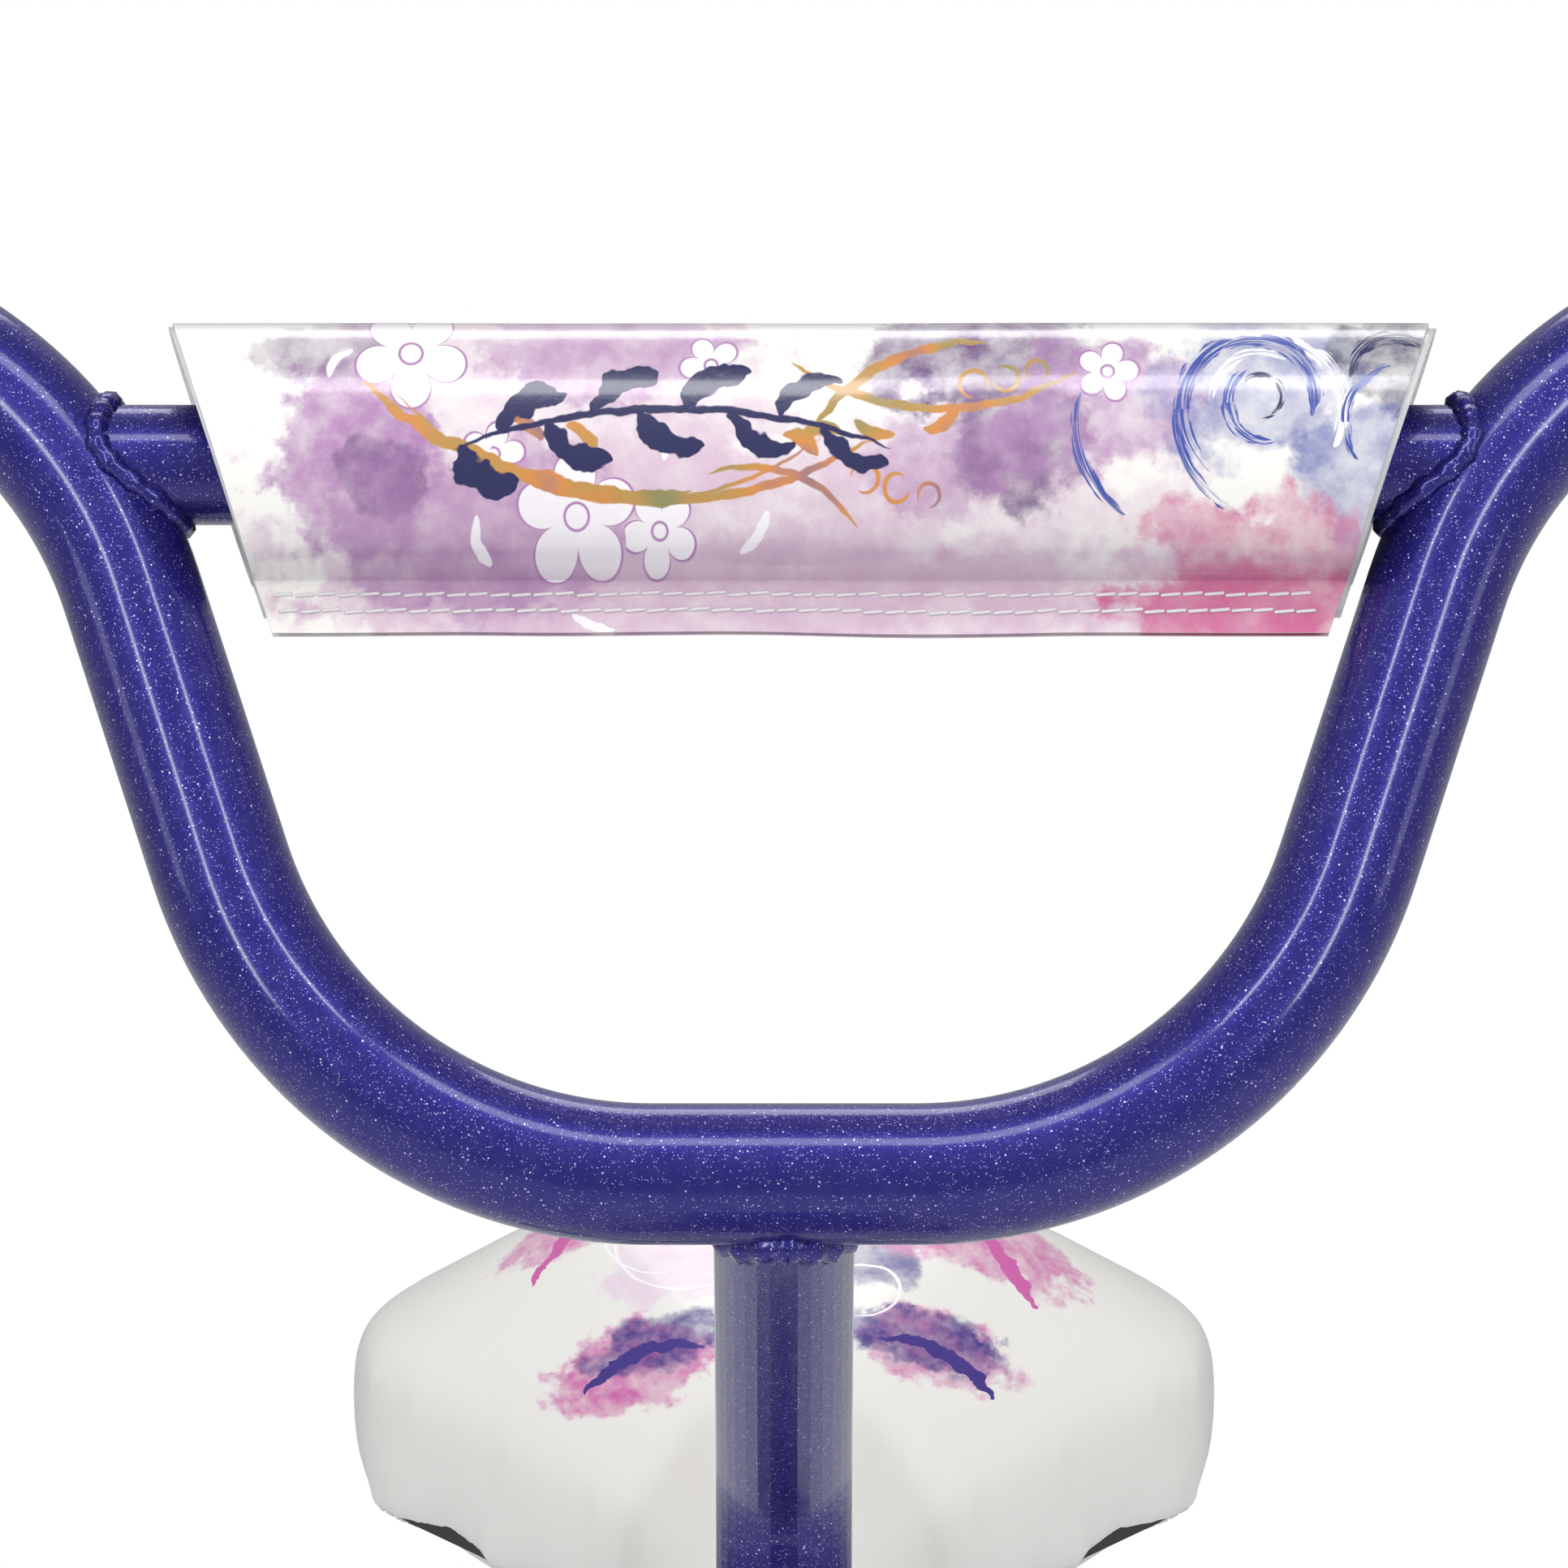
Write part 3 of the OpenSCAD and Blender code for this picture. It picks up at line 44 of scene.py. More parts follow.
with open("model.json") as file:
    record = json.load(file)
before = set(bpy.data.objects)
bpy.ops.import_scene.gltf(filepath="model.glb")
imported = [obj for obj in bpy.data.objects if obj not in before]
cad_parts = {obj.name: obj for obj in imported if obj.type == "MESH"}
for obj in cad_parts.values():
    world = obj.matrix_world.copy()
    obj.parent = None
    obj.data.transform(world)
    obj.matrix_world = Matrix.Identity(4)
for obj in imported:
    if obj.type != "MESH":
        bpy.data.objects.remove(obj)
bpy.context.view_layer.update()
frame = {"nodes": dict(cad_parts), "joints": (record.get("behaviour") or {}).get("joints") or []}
MM = 0.001
LEFT = Vector((0, 1, 0))


# ---------------------------------------------------------------------------------------------
# Settings

def length_setting(name, description, size):
    return bpy.props.FloatProperty(name=name, description=description, default=size, unit="LENGTH")


def colour_setting(name, description, colour):
    return bpy.props.FloatVectorProperty(
        name=name, description=description, default=colour, subtype="COLOR", size=3)


class BikeSizes(bpy.types.PropertyGroup):
    bar_radius: length_setting("Bar radius", "Outside radius of the handlebar and the stem", 11.1 * MM)
    crossbar_radius: length_setting("Crossbar radius", "Outside radius of the crossbar", 9.5 * MM)
    pad_depth: length_setting("Pad depth", "Radius of the handlebar pad, front to back", 19.6 * MM)
    hem_drop: length_setting("Hem drop", "How far the stitched hem hangs under the roll", 8.5 * MM)
    stitch_pitch: length_setting("Stitch pitch", "Distance from one stitch to the next", 3.4 * MM)
    bead_radius: length_setting("Weld bead", "Half thickness of a weld bead", 1.7 * MM)
    tread_height: length_setting("Tread height", "Height of the tyre's tread blocks", 2.6 * MM)
    tread_rows: bpy.props.IntProperty(
        name="Tread rows", description="Rows of tread blocks round a tyre", default=66, min=30)


class BikeColours(bpy.types.PropertyGroup):
    paint: colour_setting("Paint", "Violet-blue metallic paint", (0.012, 0.008, 0.175))
    flake: colour_setting("Flake", "Silver flakes in the paint", (0.30, 0.28, 0.62))
    vinyl: colour_setting("Vinyl", "White vinyl of the pad and the saddle", (0.86, 0.845, 0.82))
    lavender: colour_setting("Lavender", "Pale wash of the print", (0.40, 0.20, 0.42))
    plum: colour_setting("Plum", "Dark wash of the print", (0.13, 0.05, 0.19))
    pink: colour_setting("Pink", "Pink washes of the print", (0.58, 0.12, 0.28))
    gold: colour_setting("Gold", "Foil scrolls of the print", (0.46, 0.27, 0.07))
    navy: colour_setting("Navy", "Darkest strokes of the print", (0.010, 0.012, 0.085))
    backdrop: colour_setting("Floor", "Pale floor", (0.93, 0.93, 0.93))


def sizes():
    return bpy.context.scene.bike_sizes


def colours():
    return bpy.context.scene.bike_colours


# ---------------------------------------------------------------------------------------------
# Places, worked out from the frame

def middle(node):
    low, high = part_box(node)
    return (low + high) / 2


STEERING = next(joint for joint in frame["joints"] if joint["name"] == "steering")
STEER_UP = Vector(STEERING["axis"]).normalized()
STEER_AHEAD = Vector((STEER_UP.z, 0, -STEER_UP.x))
STEER_FOOT = Vector(STEERING["pos_m"])
CROSSBAR = middle("crossbar")


def steer_point(ahead, left, up):
    return STEER_FOOT + STEER_AHEAD * ahead + LEFT * left + STEER_UP * up


def steer_place(point):
    """A point of the frame as (ahead, left, up) in the steering frame."""
    reach = point - STEER_FOOT
    return Vector((reach.dot(STEER_AHEAD), reach.y, reach.dot(STEER_UP)))


BAR_CENTRE = steer_place(CROSSBAR)


# ---------------------------------------------------------------------------------------------
# Mesh helpers

def add_piece(name, verts, faces, body, material):
    mesh = bpy.data.meshes.new(name)
    mesh.from_pydata([tuple(v) for v in verts], [], faces)
    mesh.validate()
    mesh.update()
    mesh.shade_smooth()
    piece = bpy.data.objects.new(name, mesh)
    bpy.context.scene.collection.objects.link(piece)
    piece.data.materials.append(material)
    if body:
        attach(piece, body)
    return piece


def grid_faces(rows, columns, close_rows=False, close_columns=True):
    """Quads over rows of points, each row holding the same number of columns."""
    faces = []
    for r in range(rows if close_rows else rows - 1):
        for c in range(columns if close_columns else columns - 1):
            a = r * columns + c
            b = r * columns + (c + 1) % columns
            n = (r + 1) % rows
            faces.append((a, b, n * columns + (c + 1) % columns, n * columns + c))
    return faces


def end_caps(rows, columns):
    """The two faces that close the first and the last of a stack of rings."""
    return [tuple(range(columns - 1, -1, -1)), tuple(range((rows - 1) * columns, rows * columns))]


def ring_point(side, other, turn):
    """A unit step in the plane of side and other, at an angle from side."""
    return side * math.cos(turn) + other * math.sin(turn)


def merge(parts):
    """One list of points and one of faces from several."""
    verts, faces = [], []
    for part_verts, part_faces in parts:
        base = len(verts)
        verts.extend(part_verts)
        faces.extend(tuple(base + i for i in face) for face in part_faces)
    return verts, faces


# Rings of a thread's round end, as (distance along, radius), both in radii of the thread
CAPSULE_RINGS = ((-0.9, 0.3), (-0.5, 0.85), (0, 1), (1, 1), (1.5, 0.85), (1.9, 0.3))


def capsule(a, b, radius, sides=6):
    """A short round-ended thread from a to b."""
    along = (b - a).normalized()
    side = along.orthogonal().normalized()
    other = along.cross(side)
    rows = []
    for t, r in CAPSULE_RINGS:
        base = a + along * radius * t if t <= 0 else b + along * radius * (t - 1)
        rows += [base + ring_point(side, other, 2 * math.pi * k / sides) * radius * r for k in range(sides)]
    return rows, grid_faces(len(CAPSULE_RINGS), sides) + end_caps(len(CAPSULE_RINGS), sides)


def sweep(line, radius, sides, closed=False, ripple=0.0, ripple_count=0):
    """A round section along a line of points; ripple makes scallops like those of a weld."""
    n = len(line)
    rows = []
    normal = None
    for i, point in enumerate(line):
        before = line[(i - 1) % n] if closed or i else line[i]
        after = line[(i + 1) % n] if closed or i < n - 1 else line[i]
        along = (after - before).normalized()
        if normal is None:
            normal = along.orthogonal().normalized()
        normal = (normal - along * normal.dot(along)).normalized()
        other = along.cross(normal)
        r = radius * (1 + ripple * math.sin(2 * math.pi * ripple_count * i / n))
        rows += [point + ring_point(normal, other, 2 * math.pi * k / sides) * r for k in range(sides)]
    return rows, grid_faces(n, sides, close_rows=closed) + ([] if closed else end_caps(n, sides))


def surface_of(mesh):
    """A mesh that rays can be cast at."""
    faces = [tuple(face.vertices) for face in mesh.polygons]
    return bvhtree.BVHTree.FromPolygons([v.co for v in mesh.vertices], faces)


def apply_modifiers(piece):
    bpy.context.view_layer.update()
    graph = bpy.context.evaluated_depsgraph_get()
    mesh = bpy.data.meshes.new_from_object(
        piece.evaluated_get(graph), preserve_all_data_layers=True, depsgraph=graph)
    piece.modifiers.clear()
    piece.data = mesh


# ---------------------------------------------------------------------------------------------
# Shader helpers

class Wire:
    """One value in a node tree; arithmetic on it adds the math nodes that work it out."""

    def __init__(self, tree, socket):
        self.tree, self.socket = tree, socket

    def math(self, operation, *values):
        return math_wire(self.tree, operation, self, *values)

    def rise(self, low, high):
        """0 below low and 1 above high, with a smooth change between."""
        return wire(self.tree, "ShaderNodeMapRange", {0: self, 1: low, 2: high},
            interpolation_type="SMOOTHSTEP")

    def __add__(self, other):
        return self.math("ADD", other)

    def __sub__(self, other):
        return self.math("SUBTRACT", other)

    def __rsub__(self, other):
        return math_wire(self.tree, "SUBTRACT", other, self)

    def __mul__(self, other):
        return self.math("MULTIPLY", other)

    def __truediv__(self, other):
        return self.math("DIVIDE", other)


def plug(tree, value, socket):
    """Links a wire, or sets a plain value, on a node's input."""
    if isinstance(value, Wire):
        tree.links.new(value.socket, socket)
    else:
        socket.default_value = value


def plug_all(tree, node, values):
    for key, value in values.items():
        plug(tree, value, node.inputs[key])


def add_node(tree, kind, inputs=None, **settings):
    node = tree.nodes.new(kind)
    for key, value in settings.items():
        setattr(node, key, value)
    plug_all(tree, node, inputs or {})
    return node


def wire(tree, kind, inputs=None, output=0, **settings):
    """One output of a new node."""
    return Wire(tree, add_node(tree, kind, inputs, **settings).outputs[output])


def wires(tree, node):
    """All the outputs of a node by name."""
    return {socket.name: Wire(tree, socket) for socket in node.outputs}


def math_wire(tree, operation, *values):
    return wire(tree, "ShaderNodeMath", dict(enumerate(values)), operation=operation)


def vector_wire(tree, operation, *values, output=0):
    return wire(tree, "ShaderNodeVectorMath", dict(enumerate(values)), output, operation=operation)


def scaled_wire(tree, vector, scale):
    return wire(tree, "ShaderNodeVectorMath", {0: vector, "Scale": scale}, operation="SCALE")


def noise_wire(tree, place, scale, detail=2.0, **more):
    return wire(tree, "ShaderNodeTexNoise", {"Vector": place, "Scale": scale, "Detail": detail, **more})


def bump_wire(tree, height, strength, distance):
    return wire(tree, "ShaderNodeBump", {"Strength": strength, "Distance": distance, "Height": height})


def mix_colour(tree, share, a, b):
    return wire(tree, "ShaderNodeMix", {0: share, 6: a, 7: b}, 2, data_type="RGBA")


def object_place(tree):
    return wire(tree, "ShaderNodeTexCoord", output="Object")


def rgba(colour):
    return (*colour, 1)


def new_material(name):
    material = bpy.data.materials.new(name)
    material.use_nodes = True
    tree = material.node_tree
    return material, tree, tree.nodes["Principled BSDF"]


# ---------------------------------------------------------------------------------------------
# Shared effects, as node groups

ORIGIN = Vector((0, 0, 0))


def new_group(name, inputs, outputs):
    """A shader node group with named inputs, each with its default, and named outputs."""
    group = bpy.data.node_groups.new(name, "ShaderNodeTree")
    kinds = {float: "NodeSocketFloat", tuple: "NodeSocketColor", Vector: "NodeSocketVector"}
    for label, default in inputs.items():
        socket = group.interface.new_socket(label, in_out="INPUT", socket_type=kinds[type(default)])
        socket.default_value = default
    for label, kind in outputs.items():
        group.interface.new_socket(label, in_out="OUTPUT", socket_type=kinds[kind])
    source = group.nodes.new("NodeGroupInput")
    sink = group.nodes.new("NodeGroupOutput")
    return group, wires(group, source), sink.inputs


def use_group(tree, name, **inputs):
    node = tree.nodes.new("ShaderNodeGroup")
    node.node_tree = bpy.data.node_groups[name]
    plug_all(tree, node, inputs)
    return wires(tree, node)


def from_centre(group, source):
    return vector_wire(group, "SUBTRACT", source["Place"], source["Centre"])


def polar(tree, reach):
    """The length and the angle of a flat vector."""
    split = wires(tree, add_node(tree, "ShaderNodeSeparateXYZ", {0: reach}))
    return vector_wire(tree, "LENGTH", reach, output="Value"), split["Y"].math("ARCTAN2", split["X"])


def build_grain_group():
    """Uneven gloss and a fine surface, as moulded, cast or rolled things have."""
    group, source, sink = new_group(
        "Surface Grain", {"Place": ORIGIN, "Scale": 800.0, "Roughness": 0.4, "Spread": 0.1},
        {"Roughness": float, "Height": float})
    fine = noise_wire(group, source["Place"], source["Scale"], 4.0)
    broad = noise_wire(group, source["Place"], 22.0, 3.0)
    swing = (fine * 0.4 + broad * 0.6 - 0.5) * source["Spread"]
    plug(group, source["Roughness"] + swing * 2.0, sink["Roughness"])
    plug(group, fine, sink["Height"])


def build_flake_group():
    """Metal flakes under a clear coat: some glint in their own colour, all tilt a little."""
    group, source, sink = new_group(
        "Metal Flake", {"Place": ORIGIN, "Paint": (0, 0, 0, 1), "Glint": (1, 1, 1, 1),
        "Scale": 1500.0, "Share": 0.1, "Tilt": 0.2}, {"Color": tuple, "Normal": Vector})
    flake_size, cloud_scale = 0.42, 260.0
    cells = wires(group, add_node(group, "ShaderNodeTexVoronoi",
        {"Vector": source["Place"], "Scale": source["Scale"]}))
    chosen = wire(group, "ShaderNodeSeparateColor", {0: cells["Color"]}).math("LESS_THAN", source["Share"])
    flake = chosen * cells["Distance"].math("LESS_THAN", flake_size)
    cloud = noise_wire(group, source["Place"], cloud_scale, 3.0)
    deep = mix_colour(group, cloud * 0.25, source["Paint"], source["Glint"])
    soft = mix_colour(group, cloud * 0.12, source["Paint"], deep)
    plug(group, mix_colour(group, flake, soft, source["Glint"]), sink["Color"])
    lean = vector_wire(group, "SUBTRACT", cells["Color"], (0.5, 0.5, 0.5))
    normal = wire(group, "ShaderNodeNewGeometry", output="Normal")
    tilted = vector_wire(group, "ADD", normal, scaled_wire(group, lean, source["Tilt"]))
    plug(group, vector_wire(group, "NORMALIZE", tilted), sink["Normal"])


def build_arc_group():
    """A brushed arc in a flat print: dry bristle ends, even body. Lengths are in millimetres."""
    group, source, sink = new_group(
        "Arc Stroke", {"Place": ORIGIN, "Centre": ORIGIN, "Radius": 10.0, "Aim": 0.0, "Spread": 90.0,
        "Width": 2.0, "Bristle": 0.3}, {"Mask": float})
    wobble = noise_wire(group, source["Place"], 0.22)
    length, angle = polar(group, from_centre(group, source))
    off = (angle - source["Aim"].math("RADIANS")).math("WRAP", math.pi, -math.pi)
    share = off.math("ABSOLUTE") / source["Spread"].math("RADIANS").math("MAXIMUM", 0.01)
    bend = (wobble - 0.5) * (source["Width"] * 1.2)
    gap = (length - source["Radius"] + bend).math("ABSOLUTE")
    taper = (1.0 - share * share).math("MAXIMUM", 0.0).math("SQRT")
    body = (source["Width"] * 0.5 * taper - gap).rise(-0.12, 0.18)
    streaks = wire(group, "ShaderNodeCombineXYZ", {0: length * 2.6, 1: angle * 1.4, 2: source["Radius"]})
    dry_from = source["Bristle"] * 0.75
    dry = noise_wire(group, streaks, 1.0, 3.0).rise(dry_from, dry_from + 0.14)
    plug(group, body * dry * share.math("LESS_THAN", 1.0), sink["Mask"])


def build_flower_group():
    """The outline of a five-petal flower, drawn with a thin pen, with a small ring at its heart."""
    group, source, sink = new_group(
        "Flower Line", {"Place": ORIGIN, "Centre": ORIGIN, "Size": 7.0, "Turn": 0.0, "Pen": 0.5},
        {"Mask": float, "Fill": float})
    length, angle = polar(group, from_centre(group, source))
    wave = ((angle + source["Turn"]) * 2.5).math("COSINE").math("ABSOLUTE").math("POWER", 0.55)
    edge = source["Size"] * (wave * 0.58 + 0.42)
    pen = source["Pen"] * 0.5
    outline = 1.0 - (length - edge).math("ABSOLUTE").rise(pen, pen + 0.2)
    heart_gap = (length - source["Size"] * 0.2).math("ABSOLUTE")
    heart = 1.0 - heart_gap.rise(source["Pen"] * 0.4, source["Pen"] + 0.1)
    plug(group, outline.math("MAXIMUM", heart), sink["Mask"])
    plug(group, length.math("LESS_THAN", edge), sink["Fill"])


def build_wash_group():
    """A pool of watercolour: uneven edges, and clouds inside."""
    group, source, sink = new_group(
        "Colour Wash", {"Place": ORIGIN, "Centre": ORIGIN, "Stretch": Vector((1, 1, 1)),
        "Size": 20.0, "Ragged": 0.6, "Seed": 0.0}, {"Mask": float, "Depth": float})
    flat = vector_wire(group, "MULTIPLY", from_centre(group, source), source["Stretch"])
    share = vector_wire(group, "LENGTH", flat, output="Value") / source["Size"]
    shift = wire(group, "ShaderNodeCombineXYZ", {2: source["Seed"]})
    place = vector_wire(group, "ADD", source["Place"], shift)
    rough = noise_wire(group, place, 0.11, 5.0, Roughness=0.6)
    fine = noise_wire(group, place, 0.16, 6.0, Roughness=0.62)
    mask = 1.0 - (share + (rough - 0.5) * (source["Ragged"] * 3.0)).rise(0.72, 1.0)
    plug(group, mask, sink["Mask"])
    plug(group, mask * fine.rise(0.3, 0.72), sink["Depth"])


def build_groups():
    build_grain_group()
    build_flake_group()
    build_arc_group()
    build_flower_group()
    build_wash_group()


# ---------------------------------------------------------------------------------------------
# Materials

def grained(name, colour, roughness, spread=0.12, scale=900.0, bump=0.15, metallic=0.0, coat=0.0, tint=0.08):
    """A plain finish with uneven gloss, a slight change of tone and a fine surface."""
    material, tree, shader = new_material(name)
    place = object_place(tree)
    grain = use_group(tree, "Surface Grain", Place=place, Scale=scale, Roughness=roughness, Spread=spread)
    darker = tuple(c * (1 - 2 * tint) for c in colour)
    cloud = noise_wire(tree, place, 35.0, 5.0)
    plug_all(tree, shader, {
        "Base Color": mix_colour(tree, cloud, rgba(darker), rgba(colour)),
        "Roughness": grain["Roughness"], "Metallic": metallic, "Coat Weight": coat, "Coat Roughness": 0.06,
        "Normal": bump_wire(tree, grain["Height"], bump, 0.25 * MM)})
    return material


def flake_paint(name):
    """Metallic paint: many fine flakes, a few bright ones, and a clear coat."""
    material, tree, shader = new_material(name)
    place = object_place(tree)
    fine = use_group(tree, "Metal Flake", Place=place, Paint=rgba(colours().paint),
        Glint=rgba(colours().flake), Scale=4200.0, Share=0.10, Tilt=0.22)
    big = use_group(tree, "Metal Flake", Place=place, Paint=fine["Color"], Glint=(0.55, 0.55, 0.88, 1),
        Scale=2600.0, Share=0.018, Tilt=0.3)
    grain = use_group(tree, "Surface Grain", Place=place, Scale=500.0, Roughness=0.36, Spread=0.06)
    plug_all(tree, shader, {
        "Base Color": big["Color"], "Normal": fine["Normal"], "Roughness": grain["Roughness"],
        "Metallic": 0.5, "Specular IOR Level": 0.2,
        "Coat Weight": 0.8, "Coat IOR": 1.42, "Coat Roughness": 0.12})
    return material


class Print:
    """A flat print in millimetres, laid one wash, stroke or flower at a time over white vinyl.

    What lies wholly outside the strip from low to high is left out.
    """

    def __init__(self, tree, place, low=-math.inf, high=math.inf):
        self.tree, self.place, self.low, self.high = tree, place, low, high
        self.colour = rgba(colours().vinyl)

    def reaches(self, left, right):
        return left < self.high and right > self.low

    def lay(self, mask, tone, strength=1.0):
        tone = tone if isinstance(tone, Wire) else rgba(tone)
        share = mask if strength == 1.0 else mask * strength
        self.colour = mix_colour(self.tree, share, self.colour, tone)

    def wash(self, centre, size, tone, seed, stretch=(1, 1), strength=1.0, ragged=0.6):
        reach = 1.5 * size / stretch[0]
        if self.reaches(centre[0] - reach, centre[0] + reach):
            wash = use_group(self.tree, "Colour Wash", Place=self.place, Centre=(*centre, 0), Size=size,
                Ragged=ragged, Seed=seed, Stretch=(*stretch, 1))
            self.lay(wash["Mask"], tone, 0.45 * strength)
            self.lay(wash["Depth"], tone, strength)

    def arc(self, centre, radius, aim, spread, width, tone, bristle=0.3, strength=1.0):
        turns = [math.radians(aim + spread * k / 6) for k in range(-6, 7)]
        across = [centre[0] + radius * math.cos(turn) for turn in turns]
        if self.reaches(min(across) - width, max(across) + width):
            arc = use_group(self.tree, "Arc Stroke", Place=self.place, Centre=(*centre, 0), Radius=radius,
                Aim=aim, Spread=spread, Width=width, Bristle=bristle)
            self.lay(arc["Mask"], tone, strength)

    def flower(self, centre, size, turn, line, pen, fill=0.0, tone=(1, 1, 1)):
        if self.reaches(centre[0] - size, centre[0] + size):
            flower = use_group(self.tree, "Flower Line", Place=self.place, Centre=(*centre, 0), Size=size,
                Turn=turn, Pen=pen)
            self.lay(flower["Fill"], tone, fill)
            self.lay(flower["Mask"], line)


PRINT_SCALE = 100.0


def print_place(tree):
    """Flat print coordinates in millimetres, from the piece's own UV map."""
    return scaled_wire(tree, wire(tree, "ShaderNodeUVMap", uv_map="print"), PRINT_SCALE)


def set_print(mesh, coords):
    """Stores print coordinates: one (u, v) in millimetres for each point, as a UV map."""
    layer = mesh.uv_layers.new(name="print")
    for loop in mesh.loops:
        u, v = coords[loop.vertex_index]
        layer.data[loop.index].uv = (u / PRINT_SCALE, v / PRINT_SCALE)


def foil_colour(tree, place):
    """Gold foil that drifts through olive, orange and copper along its length."""
    olive, orange, copper = (0.20, 0.23, 0.10), (0.62, 0.25, 0.06), (0.30, 0.16, 0.20)
    ramp = add_node(tree, "ShaderNodeValToRGB", {0: noise_wire(tree, place, 0.06)})
    elements = ramp.color_ramp.elements
    for element, position, colour in ((elements[0], 0.30, olive), (elements[1], 0.7, copper)):
        element.position = position
        element.color = rgba(colour)
    for position, colour in ((0.45, colours().gold), (0.56, orange)):
        elements.new(position).color = rgba(colour)
    return Wire(tree, ramp.outputs[0])


def finish_vinyl(tree, shader, colour, roughness, coat):
    """Soft vinyl: fine leather-like pores, uneven gloss and a clear top layer."""
    place = object_place(tree)
    grain = use_group(tree, "Surface Grain", Place=place, Scale=1300.0, Roughness=roughness, Spread=0.10)
    creases = noise_wire(tree, place, 70.0, 3.0, Distortion=0.4)
    plug_all(tree, shader, {
        "Base Color": colour, "Roughness": grain["Roughness"],
        "Normal": bump_wire(tree, grain["Height"] * 0.25 + creases, 0.22, 0.9 * MM),
        "Coat Weight": coat, "Coat Roughness": 0.12, "Sheen Weight": 0.03})


PRINT_BLUE = (0.045, 0.075, 0.36)
PRINT_HAZE = (0.60, 0.40, 0.55)
PRINT_WHITE = (0.90, 0.88, 0.91)


def pad_washes(sheet, c):
    for row in (
            ((-20, -17), 66, PRINT_HAZE, 71.0, (1, 3.4), 0.62),
            ((0, -25), 88, PRINT_HAZE, 77.0, (1, 7), 0.8),
            ((-40, 2), 34, PRINT_HAZE, 83.0, (0.8, 1.2), 0.55),
            ((30, -14), 28, PRINT_HAZE, 88.0, (0.8, 1.4), 0.4),
            ((-70, -4), 13, c.lavender, 3.0, (0.8, 0.8), 1.0),
            ((-72, 14), 8, c.plum, 6.0, (0.7, 1), 0.5),
            ((-50, -14), 14, c.lavender, 9.0, (0.6, 1), 0.8),
            ((-30, 14), 9, c.lavender, 14.0, (0.4, 1), 0.75),
            ((-66, -6), 7, c.plum, 21.0, (1, 1), 0.6),
            ((27, 13), 11, c.plum, 33.0, (0.55, 1), 1.0),
            ((34, -1), 10, c.plum, 37.0, (0.8, 0.9), 0.9),
            ((46, 6), 12, c.lavender, 41.0, (0.7, 1), 0.8),
            ((22, -4), 9, c.lavender, 47.0, (0.6, 1), 0.6),
            ((72, 8), 14, PRINT_BLUE, 52.0, (0.75, 1), 0.55),
            ((93, 13), 8, c.navy, 55.0, (0.8, 0.8), 0.85),
            ((88, -6), 11, PRINT_BLUE, 57.0, (0.8, 1), 0.6),
            ((74, -20), 13, c.pink, 61.0, (0.5, 1), 0.85),
            ((70, -26), 9, c.pink, 63.0, (0.4, 1), 0.9)):
        sheet.wash(*row)


def pad_flowers(sheet, c):
    """White flowers with a pale outline, and the white leaves between them."""
    for row in (
            ((-61, 13), 9.0, 0.3), ((-35, -12), 9.5, 0.9), ((-22, -14), 6.0, 1.7),
            ((-48, -3), 5.0, 2.4), ((-14, 11), 5.0, 0.5), ((48, 10), 5.0, 1.2)):
        sheet.flower(*row, c.lavender, pen=0.22, fill=0.88, tone=PRINT_WHITE)
    for row in (
            ((-44, -13), 7, 200, 30, 2.0), ((-28, -4), 7, 30, 30, 1.8), ((-55, 3), 8, 300, 28, 1.8),
            ((-30, -20), 8, 250, 26, 1.8), ((-68, 8), 6, 140, 30, 1.5), ((-12, -10), 7, 320, 30, 1.7)):
        sheet.arc(*row, PRINT_WHITE, bristle=0.2, strength=0.9)


def pad_scrolls(sheet):
    """Long foil scrolls, the curls at their tips and the small leaves along them."""
    foil = foil_colour(sheet.tree, sheet.place)
    for row in (
            ((-24, 58), 67, -108, 24, 2.6), ((-26, 40), 50, -96, 42, 0.9), ((-22, 52), 62, -80, 22, 1.4),
            ((28, -16), 31, 118, 30, 1.7), ((22, 44), 40, -92, 34, 1.5), ((-8, -26), 21, 72, 36, 1.2),
            ((10, -6.5), 2.2, 30, 150, 0.8), ((15, -8), 2.0, 200, 150, 0.8), ((20, -9), 1.7, 60, 150, 0.7),
            ((27, 8), 2.2, 120, 150, 0.8), ((32, 9), 2.0, -20, 150, 0.8), ((37, 10), 1.7, 90, 150, 0.7),
            ((4, -4), 5, 100, 40, 2.2), ((-2, -5), 5, 60, 40, 2.2), ((20, 6), 5, -60, 40, 2.2),
            ((13, 5), 5, -110, 40, 2.2), ((-46, -3), 6, 60, 40, 2.4), ((-38, -4), 6, 40, 36, 2.2)):
        sheet.arc(*row, foil, bristle=0.12)


def pad_rose(sheet, c):
    """The blue rose: brushed arcs round one heart, and the start of a second."""
    for row in (
            ((72, 6), 3.4, 30, 120, 1.2, c.navy), ((73, 5), 6.2, 200, 80, 2.4, PRINT_BLUE),
            ((71, 6), 9.4, 50, 70, 3.0, PRINT_BLUE), ((72, 4), 12.4, 170, 60, 2.8, PRINT_BLUE),
            ((73, 4), 12.0, 20, 50, 2.4, PRINT_WHITE), ((72, 5), 8.0, 120, 60, 1.8, PRINT_WHITE),
            ((74, 3), 15.5, 200, 50, 1.6, PRINT_BLUE), ((93, 9), 7, 100, 80, 2.6, c.navy),
            ((94, 2), 9, 160, 60, 1.8, PRINT_BLUE), ((60, 2), 17, 200, 36, 1.8, PRINT_BLUE)):
        sheet.arc(*row, bristle=0.55)


